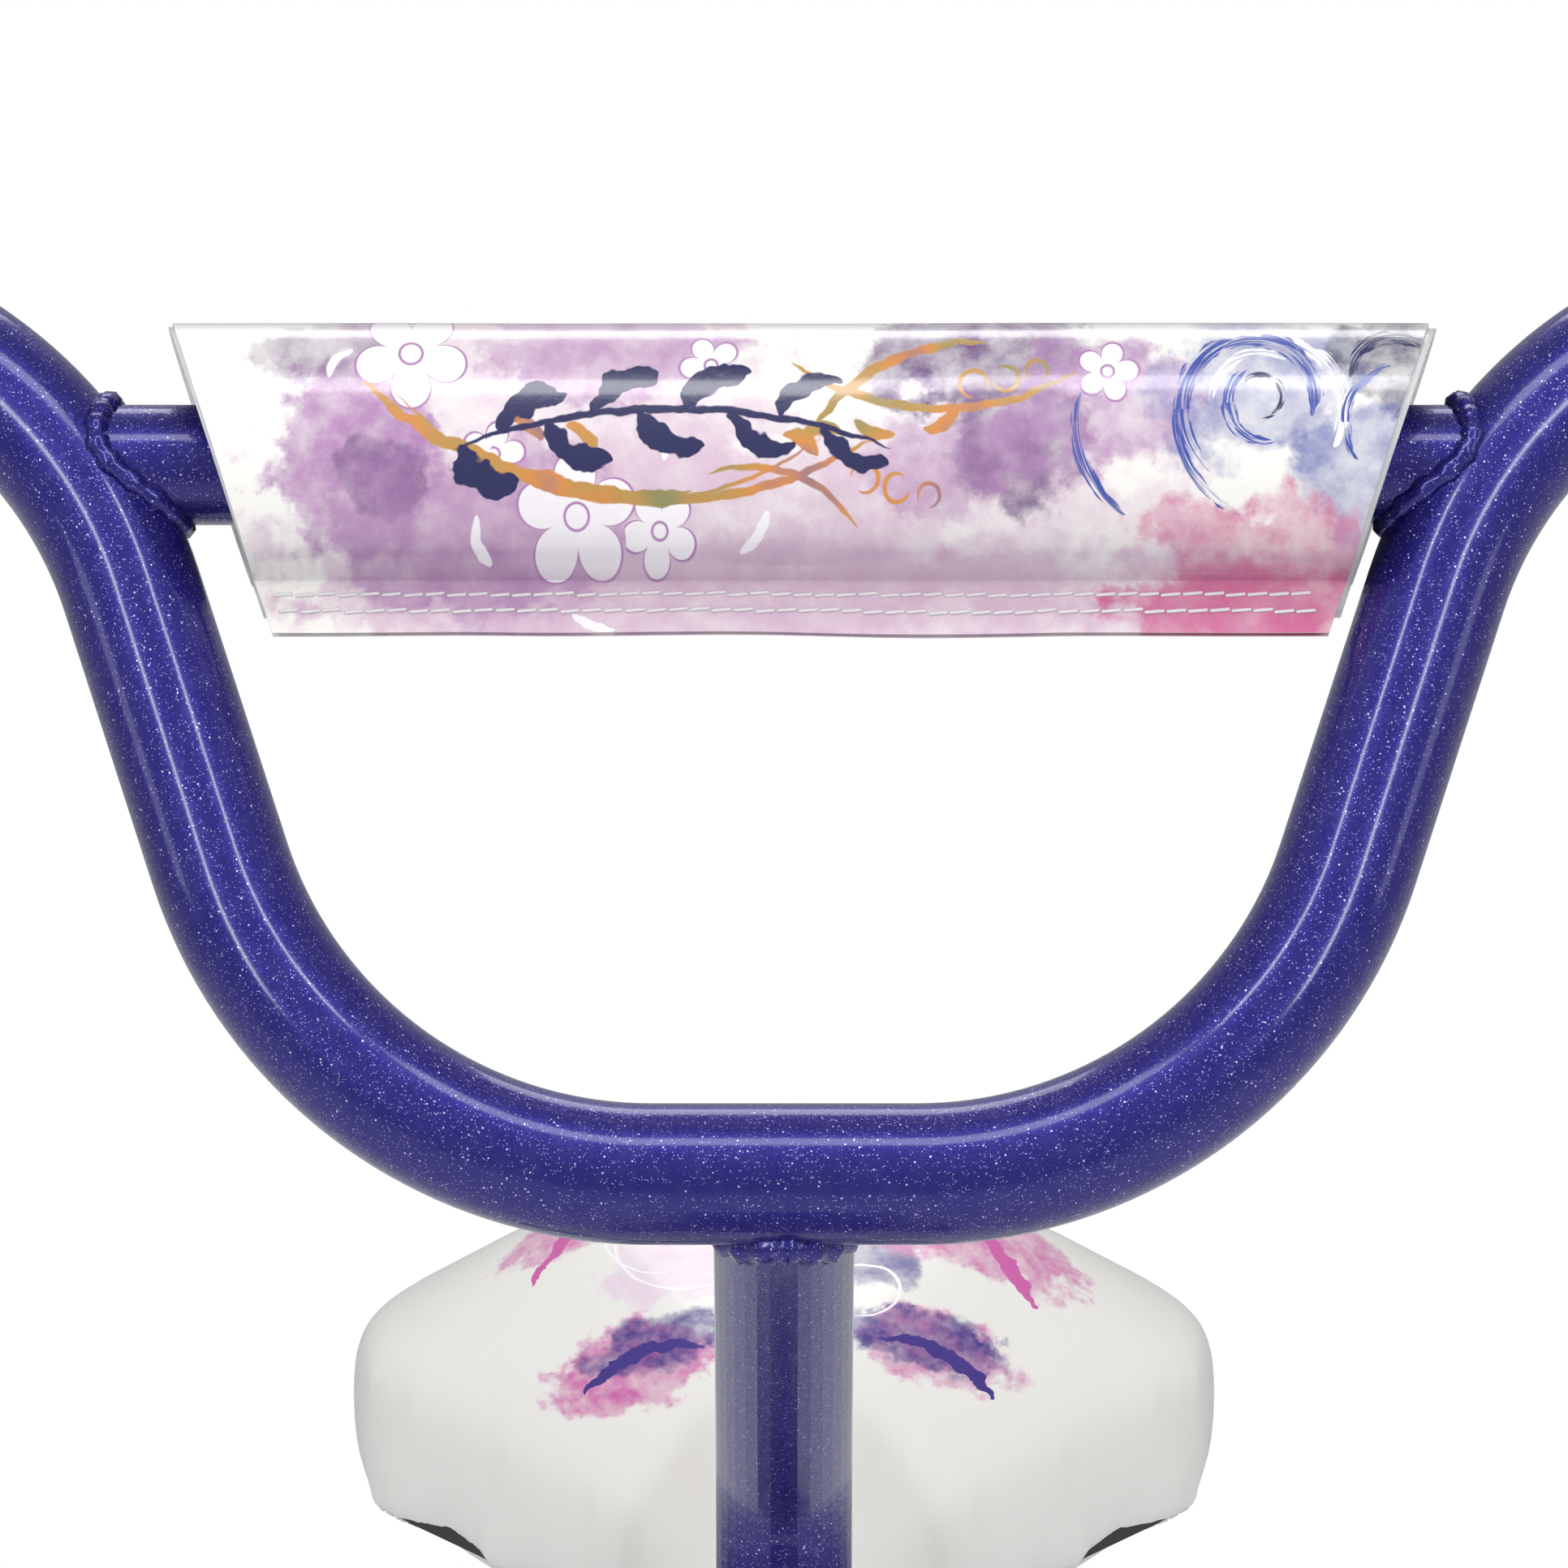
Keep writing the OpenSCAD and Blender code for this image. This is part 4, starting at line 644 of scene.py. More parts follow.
def pad_sprig(sheet, c):
    """A bowed stem with leaves on either side by turns."""
    middle_u, crown, bow = -20, 4, 100
    sheet.arc((middle_u, crown - bow), bow, 90, 20, 1.3, c.navy, bristle=0.0)
    for k in range(9):
        side = 1 if k % 2 else -1
        foot = -54 + k * 7.2
        rise = crown - 2 * ((foot - middle_u) / 20) ** 2
        centre = (foot + 7.7, rise - 2.2 * side)
        sheet.arc(centre, 8, 118 * side, 46, 4.2 - 0.15 * k, c.navy, bristle=0.0)


# Where one strip of the pad's print ends and the next starts, in millimetres along the pad.
# Each strip has a material of its own, because one holding every stroke is too large to render.
PAD_STRIPS = (-200, -52, -28, -4, 22, 50, 200)


def pad_print(name, low, high):
    """One strip of the pad's cover: washes, flowers, foil scrolls and a navy sprig on white vinyl."""
    material, tree, shader = new_material(name)
    sheet = Print(tree, print_place(tree), low, high)
    c = colours()
    pad_washes(sheet, c)
    pad_flowers(sheet, c)
    pad_scrolls(sheet)
    pad_rose(sheet, c)
    pad_sprig(sheet, c)
    finish_vinyl(tree, shader, sheet.colour, 0.30, 0.85)
    return material


def saddle_print():
    """Saddle cover: an off-white vinyl with one large brushed flower over its middle."""
    material, tree, shader = new_material("saddle_print_vinyl")
    sheet = Print(tree, print_place(tree))
    indigo, rose = (0.045, 0.022, 0.24), (0.62, 0.12, 0.40)
    pale, white = (0.80, 0.62, 0.78), (0.93, 0.92, 0.94)
    for row in (
            ((-38, -46), 19, rose, 5.0, (0.8, 1.35), 1.0), ((-30, -40), 15, indigo, 12.0, (0.72, 1.5), 1.0),
            ((37, -40), 16, rose, 17.0, (0.7, 1.3), 0.8), ((35, -38), 16, indigo, 23.0, (0.72, 1.5), 1.0),
            ((-17, 2), 11, indigo, 29.0, (0.8, 1.1), 1.0), ((20, -16), 9, indigo, 36.0, (0.8, 0.9), 0.9),
            ((-40, 4), 17, rose, 41.0, (0.62, 1.6), 0.85), ((40, 0), 19, rose, 47.0, (0.6, 1.2), 0.9),
            ((-22, -18), 15, pale, 53.0, (0.7, 1.2), 0.8), ((30, 22), 17, rose, 59.0, (0.7, 1.0), 0.7)):
        sheet.wash(*row, ragged=0.5)
    for row in (
            ((0, -60), 76, 124, 15, 4, rose, 0.22), ((0, -60), 72, 56, 20, 5, rose, 0.22),
            ((-34, -72), 30, 95, 34, 4, indigo, 0.25), ((34, -70), 30, 78, 34, 4, indigo, 0.25)):
        sheet.arc(*row)
    for row in (
            ((-24, -6), 13, 120, 150, 1.0), ((-20, -10), 15, 190, 110, 0.9), ((16, -26), 9, 40, 150, 0.9),
            ((-8, -62), 10, 200, 120, 0.8)):
        sheet.arc(*row, white, bristle=0.15)
    finish_vinyl(tree, shader, sheet.colour, 0.38, 0.35)
    return material


def guard_print():
    """Chain guard: white plastic with the pad's washes and scrolls, larger and sparser."""
    material, tree, shader = new_material("guard_print_plastic")
    shift = vector_wire(tree, "SUBTRACT", object_place(tree), tuple(middle("chain_guard")))
    split = wires(tree, add_node(tree, "ShaderNodeSeparateXYZ", {0: shift}))
    place = wire(tree, "ShaderNodeCombineXYZ", {0: split["X"] * 1000.0, 1: split["Z"] * 1000.0})
    c = colours()
    sheet = Print(tree, place)
    for row in (
            ((95, 10), 34, c.lavender, 4.0), ((60, 20), 20, c.plum, 11.0), ((-10, 14), 24, c.lavender, 19.0),
            ((-90, 4), 22, c.pink, 27.0), ((140, -10), 18, c.pink, 31.0)):
        sheet.wash(*row)
    foil = foil_colour(tree, place)
    for row in (((20, 60), 55, -90, 40, 4), ((-60, -40), 58, 80, 34, 4), ((100, -20), 40, 80, 50, 4)):
        sheet.arc(*row, foil, bristle=0.4)
    for row in (((110, 22), 11, 0.4), ((30, 12), 9, 1.2), ((-50, 10), 8, 0.8)):
        sheet.flower(*row, c.navy, pen=1.0)
    grain = use_group(tree, "Surface Grain", Place=object_place(tree), Scale=500.0, Roughness=0.26,
        Spread=0.1)
    plug_all(tree, shader, {
        "Base Color": sheet.colour, "Roughness": grain["Roughness"], "Coat Weight": 0.5})
    return material


def reflector_plastic(name, colour):
    """Moulded reflector: rows of small prisms seen through a clear face."""
    material, tree, shader = new_material(name)
    distance = wire(tree, "ShaderNodeTexVoronoi", {"Vector": object_place(tree), "Scale": 330.0}, "Distance",
        distance="CHEBYCHEV")
    dark = tuple(c * 0.45 for c in colour)
    plug_all(tree, shader, {
        "Base Color": mix_colour(tree, distance.rise(0.1, 0.6), rgba(colour), rgba(dark)),
        "Normal": bump_wire(tree, distance, 0.7, 0.8 * MM),
        "Roughness": 0.16, "Coat Weight": 1.0, "Coat Roughness": 0.03})
    return material


def clear_film():
    """The cover's cut edge: half-clear vinyl with a faint haze."""
    material, tree, shader = new_material("clear_vinyl_edge")
    place = object_place(tree)
    grain = use_group(tree, "Surface Grain", Place=place, Scale=900.0, Roughness=0.16, Spread=0.1)
    haze = noise_wire(tree, place, 120.0)
    plug_all(tree, shader, {
        "Base Color": mix_colour(tree, haze, (0.80, 0.82, 0.84, 1), (0.95, 0.95, 0.95, 1)),
        "Roughness": grain["Roughness"], "Alpha": 0.55, "Coat Weight": 0.6})
    return material


MATERIALS = {}


def dress(material, *nodes):
    for name in nodes:
        mesh = frame["nodes"][name].data
        mesh.materials.clear()
        mesh.materials.append(material)


class BIKE_OT_materials(bpy.types.Operator):
    """Build every material and put one on each piece of the frame"""
    bl_idname = "bike.materials"
    bl_label = "Paint, rubber and steel"

    def execute(self, context):
        build_groups()
        paint = flake_paint("violet_flake_paint")
        chrome = grained("chromed_steel", (0.80, 0.81, 0.83), 0.12, 0.10, 300.0, 0.03, metallic=1.0)
        zinc = grained("zinc_plated_steel", (0.56, 0.57, 0.60), 0.34, 0.2, 700.0, 0.12, metallic=1.0)
        alloy = grained("brushed_alloy", (0.74, 0.75, 0.77), 0.30, 0.14, 600.0, 0.08, metallic=1.0)
        chain = grained("oiled_chain_steel", (0.30, 0.28, 0.26), 0.36, 0.3, 500.0, 0.2, metallic=1.0)
        rubber = grained("white_grip_rubber", (0.80, 0.79, 0.81), 0.52, 0.14, 1400.0, 0.35, tint=0.05)
        plastic = grained("black_moulded_plastic", (0.022, 0.022, 0.025), 0.46, 0.16, 1100.0, 0.4)
        tyre = grained("tyre_rubber", (0.030, 0.030, 0.032), 0.68, 0.16, 1500.0, 0.5, tint=0.2)
        MATERIALS.update(paint=paint, plastic=plastic, tyre=tyre, weld=flake_paint("violet_weld_paint"))
        dress(paint, "head_tube", "top_tube", "down_tube", "seat_tube", "bottom_bracket_shell", "chain_stays",
            "seat_stays", "rear_dropouts", "steerer_tube", "fork_blades", "stem", "handlebar", "crossbar")
        dress(chrome, "headset_cups", "headset_nuts", "crown_race", "seat_collar", "crank", "chainring",
            "crank_cones", "bottom_bracket_cups", "seat_post", "saddle_rails", "kickstand")
        dress(zinc, "headset_balls", "crank_balls", "rear_axle", "rear_axle_nuts", "brake_arm",
            "kickstand_bracket", "stem_expander", "front_axle", "front_axle_nuts", "front_spokes",
            "rear_spokes", "rear_sprocket", "pedal_spindles", "saddle_clamp")
        dress(alloy, "front_rim", "rear_rim", "front_hub", "rear_hub")
        dress(chain, "chain")
        dress(rubber, "grip_left", "grip_right")
        dress(plastic, "pedal_left", "pedal_right", "saddle_base")
        dress(tyre, "front_inner_tube", "rear_inner_tube", "front_tyre", "rear_tyre")
        dress(guard_print(), "chain_guard")
        dress(reflector_plastic("clear_reflector", (0.80, 0.81, 0.83)), "front_reflector")
        dress(reflector_plastic("amber_reflector", (0.85, 0.24, 0.02)), "pedal_reflectors_left",
            "pedal_reflectors_right", "front_wheel_reflector", "rear_wheel_reflector")
        for node in frame["nodes"].values():
            node.data.shade_smooth()
            node.data.set_sharp_from_angle(angle=math.radians(32))
        return {"FINISHED"}


# ---------------------------------------------------------------------------------------------
# Handlebar

# The handlebar's corners on the left, from the crossbar's middle: ahead, left, up
BAR_CORNERS = ((0, 72.5 * MM, -112.6 * MM), (0, 117 * MM, 23.9 * MM),
    (-183 * MM * math.tan(math.radians(9)), 300 * MM, 23.9 * MM + 183 * MM * math.tan(math.radians(6))))
BAR_BEND = 71 * MM


def rounded_line(corners, bend, step=2.5 * MM):
    """A line through corners, each rounded with one bend radius."""
    line = [corners[0]]
    for before, corner, after in zip(corners, corners[1:], corners[2:]):
        a, b = (before - corner).normalized(), (after - corner).normalized()
        half = a.angle(b) / 2
        reach = bend / math.tan(half)
        centre = corner + (a + b).normalized() * (bend / math.sin(half))
        start, end = corner + a * reach - centre, corner + b * reach - centre
        turn = start.angle(end)
        count = max(3, round(bend * turn / step))
        for i in range(count + 1):
            part = turn * i / count
            line.append(centre + (start * math.sin(turn - part) + end * math.sin(part)) / math.sin(turn))
    line.append(corners[-1])
    return line


class BIKE_OT_handlebar(bpy.types.Operator):
    """The bent tube of the handlebar, swept smoothly along its bends"""
    bl_idname = "bike.handlebar"
    bl_label = "Handlebar"

    def execute(self, context):
        right, left = ([steer_point(BAR_CENTRE.x + a, side * y, BAR_CENTRE.z + u) for a, y, u in BAR_CORNERS]
            for side in (-1, 1))
        line = rounded_line(right[::-1] + left, BAR_BEND)
        piece = add_piece("handlebar_tube", *sweep(line, sizes().bar_radius, 48), "fork", MATERIALS["paint"])
        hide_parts("handlebar")
        return {"FINISHED"}


# ---------------------------------------------------------------------------------------------
# Handlebar pad

PAD_RISE = 20 * MM
PAD_HALF_LOW, PAD_HALF_HIGH = 83 * MM, 99 * MM
PAD_OFF_LEFT, PAD_OFF_UP = 2.6 * MM, 1.2 * MM
COVER_THICKNESS = 0.9 * MM
EDGE_THICKNESS = 0.25 * MM
THREAD_RADIUS = 0.3 * MM
HEM_SEAMS = ((-22.6 * MM, STEER_AHEAD), (-25.2 * MM, STEER_AHEAD),
    (-22.8 * MM, -STEER_AHEAD), (-25.3 * MM, -STEER_AHEAD))


def roll_point(degrees, square_ahead, square_up):
    """A point of the roll's outline, squarer than an ellipse as the powers fall below 1."""
    c, s = math.cos(math.radians(degrees)), math.sin(math.radians(degrees))
    return (sizes().pad_depth * math.copysign(abs(c) ** square_ahead, c),
        PAD_RISE * math.copysign(abs(s) ** square_up, s))


def pad_section():
    """Outline of the pad as (ahead, up), from the hem's front foot round to its back foot."""
    hem = sizes().hem_drop
    front = [(3.1 * MM, -PAD_RISE - hem), (3.3 * MM, -PAD_RISE - hem * 0.66),
        (3.6 * MM, -PAD_RISE - hem * 0.33), (4.2 * MM, -PAD_RISE + 0.1 * MM)]
    back = [(1.0 * MM, -PAD_RISE + 0.3 * MM), (0.8 * MM, -PAD_RISE - hem * 0.33),
        (0.6 * MM, -PAD_RISE - hem * 0.66), (0.5 * MM, -PAD_RISE - hem)]
    front += [roll_point(-72 + i * 162 / 21, 0.80, 0.92) for i in range(1, 22)]
    return front + [roll_point(90 + i * 8.1, 0.85, 0.95) for i in range(1, 21)] + back


def pad_half(up):
    """Half the pad's length at a height: its ends follow the slant of the bar's legs."""
    hem = sizes().hem_drop
    share = (up + PAD_RISE + hem) / (2 * PAD_RISE + hem)
    return PAD_HALF_LOW + (PAD_HALF_HIGH - PAD_HALF_LOW) * share


def pad_point(ahead, up, share):
    """A point of the pad in the frame, with the slight waves of sewn vinyl."""
    left = pad_half(up) * share
    wave = noise.noise(Vector((left * 28, up * 30, 2.0))) * 0.6 * MM
    droop = 0.0
    if up < -PAD_RISE:
        droop = noise.noise(Vector((left * 22, 0, 7.0))) * 0.8 * MM * min(1, (-up - PAD_RISE) / (8 * MM))
    ahead += wave if abs(ahead) > 6 * MM else wave * 0.4
    return steer_point(BAR_CENTRE.x + ahead, left + PAD_OFF_LEFT, BAR_CENTRE.z + up + droop + PAD_OFF_UP)


def solidify(piece, thickness):
    piece.modifiers.new("thickness", "SOLIDIFY").thickness = thickness
    apply_modifiers(piece)


def pad_cover(section):
    columns = 97
    verts, coords = [], []
    for ahead, up in section:
        for i in range(columns):
            share = -1 + 2 * i / (columns - 1)
            verts.append(pad_point(ahead, up, share))
            coords.append((pad_half(up) * share / MM, up / MM))
    faces = [face[::-1] for face in grid_faces(len(section), columns, close_columns=False)]
    strips = [pad_print(f"pad_print_{k}", *ends) for k, ends in enumerate(zip(PAD_STRIPS, PAD_STRIPS[1:]), 1)]
    cover = add_piece("pad_cover", verts, faces, None, strips[0])
    for material in strips[1:]:
        cover.data.materials.append(material)
    set_print(cover.data, coords)
    for face in cover.data.polygons:
        across = sum(coords[i][0] for i in face.vertices) / len(face.vertices)
        face.material_index = sum(across > edge for edge in PAD_STRIPS[1:-1])
    solidify(cover, COVER_THICKNESS)
    cover.data.shade_smooth()
    cover.data.set_sharp_from_angle(angle=math.radians(50))
    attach(cover, "fork")
    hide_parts("handlebar_pad")
    return cover


def pad_foam(section):
    """Solid foam core, a little inside the cover all round."""
    rows = [(ahead * 0.93, up * 0.94) for ahead, up in section[3:-3]]
    steps, core = 25, []
    for i in range(steps):
        share = (-1 + 2 * i / (steps - 1)) * 0.985
        core += [pad_point(ahead, up, share) for ahead, up in rows]
    faces = grid_faces(steps, len(rows)) + end_caps(steps, len(rows))
    foam = grained("grey_foam", (0.16, 0.16, 0.17), 0.9, scale=2200.0, bump=0.9, tint=0.25)
    add_piece("pad_foam", core, faces, "fork", foam)


def pad_stitches(cover):
    """Two rows of stitches on each side of the hem, laid on the cover by rays."""
    skin, pitch, parts = surface_of(cover.data), sizes().stitch_pitch, []
    random.seed(7)
    for up, look in HEM_SEAMS:
        half = pad_half(up) - 2 * MM
        for i in range(int(2 * half / pitch)):
            left = -half + (i + 0.5) * pitch
            shake = random.uniform(-0.18, 0.18) * MM
            ends = []
            for reach, lean in ((-1.3 * MM, -0.1 * MM), (1.3 * MM, 0.12 * MM)):
                point = pad_point(0, up + shake + lean, (left + reach) / pad_half(up))
                hit = skin.ray_cast(point + look * 40 * MM, -look)[0]
                if hit is not None:
                    ends.append(hit + look * 0.12 * MM)
            if len(ends) == 2:
                parts.append(capsule(*ends, THREAD_RADIUS))
    thread = grained("polyester_thread", (0.80, 0.78, 0.80), 0.6, scale=3000.0, bump=0.4)
    add_piece("pad_stitches", *merge(parts), "fork", thread)


def pad_edge(section):
    """The cover's clear cut edge, which shows past the print at both ends."""
    edge, faces = [], []
    for side, past in ((-1, 1.006), (1, 1.012)):
        base = len(edge)
        for ahead, up in section[1:-1]:
            edge += [pad_point(ahead * 1.005, up * 1.004, side * reach) for reach in (0.99, past)]
        faces += [(a, a + 1, a + 3, a + 2) for a in range(base, len(edge) - 2, 2)]
    strip = add_piece("pad_clear_edge", edge, faces, None, clear_film())
    solidify(strip, EDGE_THICKNESS)
    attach(strip, "fork")


class BIKE_OT_pad(bpy.types.Operator):
    """Printed vinyl cover of the handlebar pad, with its foam and its two rows of stitches"""
    bl_idname = "bike.pad"
    bl_label = "Handlebar pad"

    def execute(self, context):
        section = pad_section()
        cover = pad_cover(section)
        pad_foam(section)
        pad_stitches(cover)
        pad_edge(section)
        return {"FINISHED"}


# ---------------------------------------------------------------------------------------------
# Saddle

COVER_VOXEL = 4.5 * MM
COVER_SHRINK = 0.9 * MM
COVER_SWELL = 2.6 * MM
COVER_PRESSURE = 4.0
COVER_HANG = 11 * MM
COVER_HANG_OVER = 26 * MM
BASE_TUCK = 3 * MM
WELT_RADIUS = 1.5 * MM
FLOWER_HEART = 62


def modify(piece, kind, **settings):
    modifier = piece.modifiers.new(kind.lower(), kind)
    for key, value in settings.items():
        setattr(modifier, key, value)
    return modifier


def blow_up(piece, steps=12):
    """Cloth pressure inside a closed mesh, for a few steps."""
    cloth = modify(piece, "CLOTH")
    cloth.settings.use_pressure = True
    cloth.settings.uniform_pressure_force = COVER_PRESSURE
    cloth.settings.effector_weights.gravity = 0
    cloth.settings.tension_stiffness = 20
    cloth.settings.compression_stiffness = 20
    cloth.settings.bending_stiffness = 4
    cloth.collision_settings.use_collision = False
    for step in range(1, steps + 1):
        bpy.context.scene.frame_set(step)
    apply_modifiers(piece)
    bpy.context.scene.frame_set(1)


def puffed_copy(name, node, material):
    """A CAD cushion remeshed, blown up a little by cloth pressure and subdivided."""
    piece = bpy.data.objects.new(name, frame["nodes"][node].data.copy())
    bpy.context.scene.collection.objects.link(piece)
    modify(piece, "REMESH", mode="VOXEL", voxel_size=COVER_VOXEL)
    apply_modifiers(piece)
    modify(piece, "SMOOTH", factor=0.5, iterations=10)
    apply_modifiers(piece)
    piece.data.update()
    for vertex in piece.data.vertices:
        vertex.co -= vertex.normal * COVER_SHRINK
    rest = [vertex.co.copy() for vertex in piece.data.vertices]
    blow_up(piece)
    for vertex, start in zip(piece.data.vertices, rest):
        move = vertex.co - start
        if move.length > COVER_SWELL:
            vertex.co = start + move.normalized() * COVER_SWELL
    modify(piece, "SMOOTH", factor=0.5, iterations=3)
    modify(piece, "SUBSURF", levels=1, render_levels=1)
    apply_modifiers(piece)
    piece.data.materials.clear()
    piece.data.materials.append(material)
    piece.data.shade_smooth()
    return piece


def saddle_axes():
    """The saddle's tail, and its own forward and up directions, from the line of its base plate."""
    points = [v.co for v in frame["nodes"]["saddle_base"].data.vertices]
    nose = max(points, key=lambda p: p.x)
    tail = min(points, key=lambda p: p.x)
    ahead = Vector((nose.x - tail.x, 0, nose.z - tail.z)).normalized()
    return Vector((tail.x, 0, tail.z)), ahead, Vector((-ahead.z, 0, ahead.x))


def hang_cover(mesh, heights, up):
    """Draws the cover's skirt down over the base plate, most at its rim."""
    bottom = min(heights)
    for vertex, height in zip(mesh.vertices, heights):
        share = max(0.0, 1 - (height - bottom) / COVER_HANG_OVER)
        vertex.co -= up * COVER_HANG * share * share * (3 - 2 * share)
    mesh.update()


def print_cover(mesh, tail, ahead, up, crest):
    """Print coordinates from above, drawn out where the cover falls away at its sides."""
    coords = []
    for vertex in mesh.vertices:
        reach = vertex.co - tail
        drop = (crest - reach.dot(up)) / MM
        coords.append((vertex.co.y / MM + drop * vertex.normal.y,
            FLOWER_HEART - reach.dot(ahead) / MM - drop * vertex.normal.dot(ahead)))
    set_print(mesh, coords)


def tucked_base(tail, ahead):
    """The base plate drawn in a little, so that the cover's skirt clears it."""
    plate = frame["nodes"]["saddle_base"].data
    centre = sum((v.co - tail).dot(ahead) for v in plate.vertices) / len(plate.vertices)
    verts = []
    for vertex in plate.vertices:
        reach = vertex.co - tail
        inward = -LEFT * reach.dot(LEFT) - ahead * (reach.dot(ahead) - centre)
        verts.append(vertex.co + inward.normalized() * min(BASE_TUCK, inward.length))
    faces = [tuple(face.vertices) for face in plate.polygons]
    base = add_piece("saddle_base_plate", verts, faces, "saddle", MATERIALS["plastic"])
    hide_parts("saddle_base")


def outline_at(mesh, tail, ahead, up, height, count=180):
    """Points round a mesh at a height over its tail, found by rays cast inwards."""
    skin = surface_of(mesh)
    spine = [(v.co - tail).dot(ahead) for v in mesh.vertices]
    low, high = min(spine), max(spine)
    points = []
    for i in range(count):
        turn = 2 * math.pi * i / count
        out = ring_point(ahead, LEFT, turn)
        start = tail + up * height + ahead * (low + (high - low) * (0.42 + 0.30 * math.cos(turn)))
        hit = skin.ray_cast(start + out * 0.4, -out)[0]
        if hit is not None:
            points.append(hit + out * 0.2 * MM)
    return even_steps(points, 1.9 * MM)


def even_steps(points, step):
    """The closed line through points, cut again into steps of one length."""
    lengths = [(b - a).length for a, b in zip(points, points[1:] + points[:1])]
    count = 2 * max(8, round(sum(lengths) / step / 2))
    total, result, i, run = sum(lengths), [], 0, 0.0
    for k in range(count):
        want = total * k / count
        while run + lengths[i] < want:
            run += lengths[i]
            i += 1
        a, b = points[i], points[(i + 1) % len(points)]
        result.append(a + (b - a) * ((want - run) / max(lengths[i], 1e-9)))
    return result


def saddle_seams(mesh, tail, ahead, up, height):
    """A welt round the cover's rim and a row of stitches above it."""
    ring = outline_at(mesh, tail, ahead, up, height)
    vinyl = grained("welt_vinyl", tuple(colours().vinyl), 0.4, scale=1400.0, bump=0.25, coat=0.2)
    welt = add_piece("saddle_welt", *sweep(ring, WELT_RADIUS, 8, closed=True), "saddle", vinyl)
    upper = outline_at(mesh, tail, ahead, up, height + 5 * MM)
    parts = [capsule(a, a + (b - a).normalized() * 2.4 * MM, THREAD_RADIUS)
        for a, b in zip(upper[::2], upper[1::2])]
    thread = grained("saddle_thread", (0.78, 0.76, 0.74), 0.6, scale=3000.0, bump=0.4)
    add_piece("saddle_stitches", *merge(parts), "saddle", thread)


class BIKE_OT_saddle(bpy.types.Operator):
    """Padded saddle cover with its brushed flower, its welt and the stitches beside it"""
    bl_idname = "bike.saddle"
    bl_label = "Saddle"

    def execute(self, context):
        cover = puffed_copy("saddle_cover", "saddle_pad", saddle_print())
        tail, ahead, up = saddle_axes()
        heights = [(v.co - tail).dot(up) for v in cover.data.vertices]
        hang_cover(cover.data, heights, up)
        print_cover(cover.data, tail, ahead, up, max(heights))
        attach(cover, "saddle")
        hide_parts("saddle_pad")
        tucked_base(tail, ahead)
        saddle_seams(cover.data, tail, ahead, up, min(heights) - COVER_HANG + 5 * MM)
        return {"FINISHED"}


# ---------------------------------------------------------------------------------------------
# Tyres

TYRE_WALL = 2.2 * MM
# Lanes of tread blocks: place and half width in degrees round the section, half length in rows
TREAD_LANES = ((-52, 11, 0.30), (-27, 12, 0.36), (0, 11, 0.40), (27, 12, 0.36), (52, 11, 0.30))
BLOCK_CORNERS = ((-1, -1), (0, -1.12), (1, -1), (1, 1), (0, 1.12), (-1, 1))


def wheel_out(turn):
    return Vector((math.cos(turn), 0, math.sin(turn)))


def tyre_mesh(centre, outer, section):
    """A carcass turned about the axle, and rows of blocks over its crown."""
    middle_r = outer - section
    skin = section - sizes().tread_height
    steps, turns = 180, [math.radians(-138 + 276 * i / 32) for i in range(33)]
    loop = []
    for a in turns:
        bulge = 1 + 0.012 * math.cos(6 * a)
        loop.append((middle_r + skin * bulge * math.cos(a), skin * bulge * math.sin(a)))
    inner = skin - TYRE_WALL
    loop += [(middle_r + inner * math.cos(a), inner * math.sin(a)) for a in reversed(turns)]
    verts = []
    for i in range(steps):
        out = wheel_out(2 * math.pi * i / steps)
        verts += [centre + out * r + LEFT * y for r, y in loop]
    parts = [(verts, grid_faces(steps, len(loop), close_rows=True))]
    row_turn = 2 * math.pi / sizes().tread_rows
    for row in range(sizes().tread_rows):
        for lane, (lateral, wide, long) in enumerate(TREAD_LANES):
            turn = row_turn * (row + (0.5 if lane % 2 else 0.0))
            parts.append(tread_block(centre, middle_r, skin, section, turn, row_turn * long,
                math.radians(lateral), math.radians(wide)))
    return merge(parts)


def tread_block(centre, middle_r, skin, crown, turn, half_turn, lateral, wide):
    """One block: six corners at the carcass, drawn in twice on the way up to its crown."""
    verts = []
    for level, shrink in ((skin - 0.6 * MM, 1.0), (skin + (crown - skin) * 0.82, 0.90), (crown, 0.78)):
        for s, t in BLOCK_CORNERS:
            a = lateral + wide * s * shrink
            out = wheel_out(turn + half_turn * t * shrink)
            verts.append(centre + out * (middle_r + level * math.cos(a)) + LEFT * level * math.sin(a))
    corners = len(BLOCK_CORNERS)
    return verts, grid_faces(3, corners) + end_caps(3, corners)[1:]


class BIKE_OT_tyres(bpy.types.Operator):
    """Both tyres with their blocks, turned to the size of the plain ones"""
    bl_idname = "bike.tyres"
    bl_label = "Tyres"

    def execute(self, context):
        for end in ("front", "rear"):
            low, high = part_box(end + "_tyre")
            verts, faces = tyre_mesh((low + high) / 2, (high.z - low.z) / 2, (high.y - low.y) / 2)
            piece = add_piece(end + "_tyre_blocks", verts, faces, end + "_wheel", MATERIALS["tyre"])
            piece.data.set_sharp_from_angle(angle=math.radians(30))
            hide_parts(end + "_tyre")
        return {"FINISHED"}


# ---------------------------------------------------------------------------------------------
# Weld beads

STEM_ELBOW = 509.8 * MM
CROSSBAR_WELD_FROM = 84 * MM
FRAME_JOINTS = (("top_tube", "head_tube"), ("top_tube", "seat_tube"), ("down_tube", "head_tube"),
    ("down_tube", "bottom_bracket_shell"), ("seat_tube", "bottom_bracket_shell"))


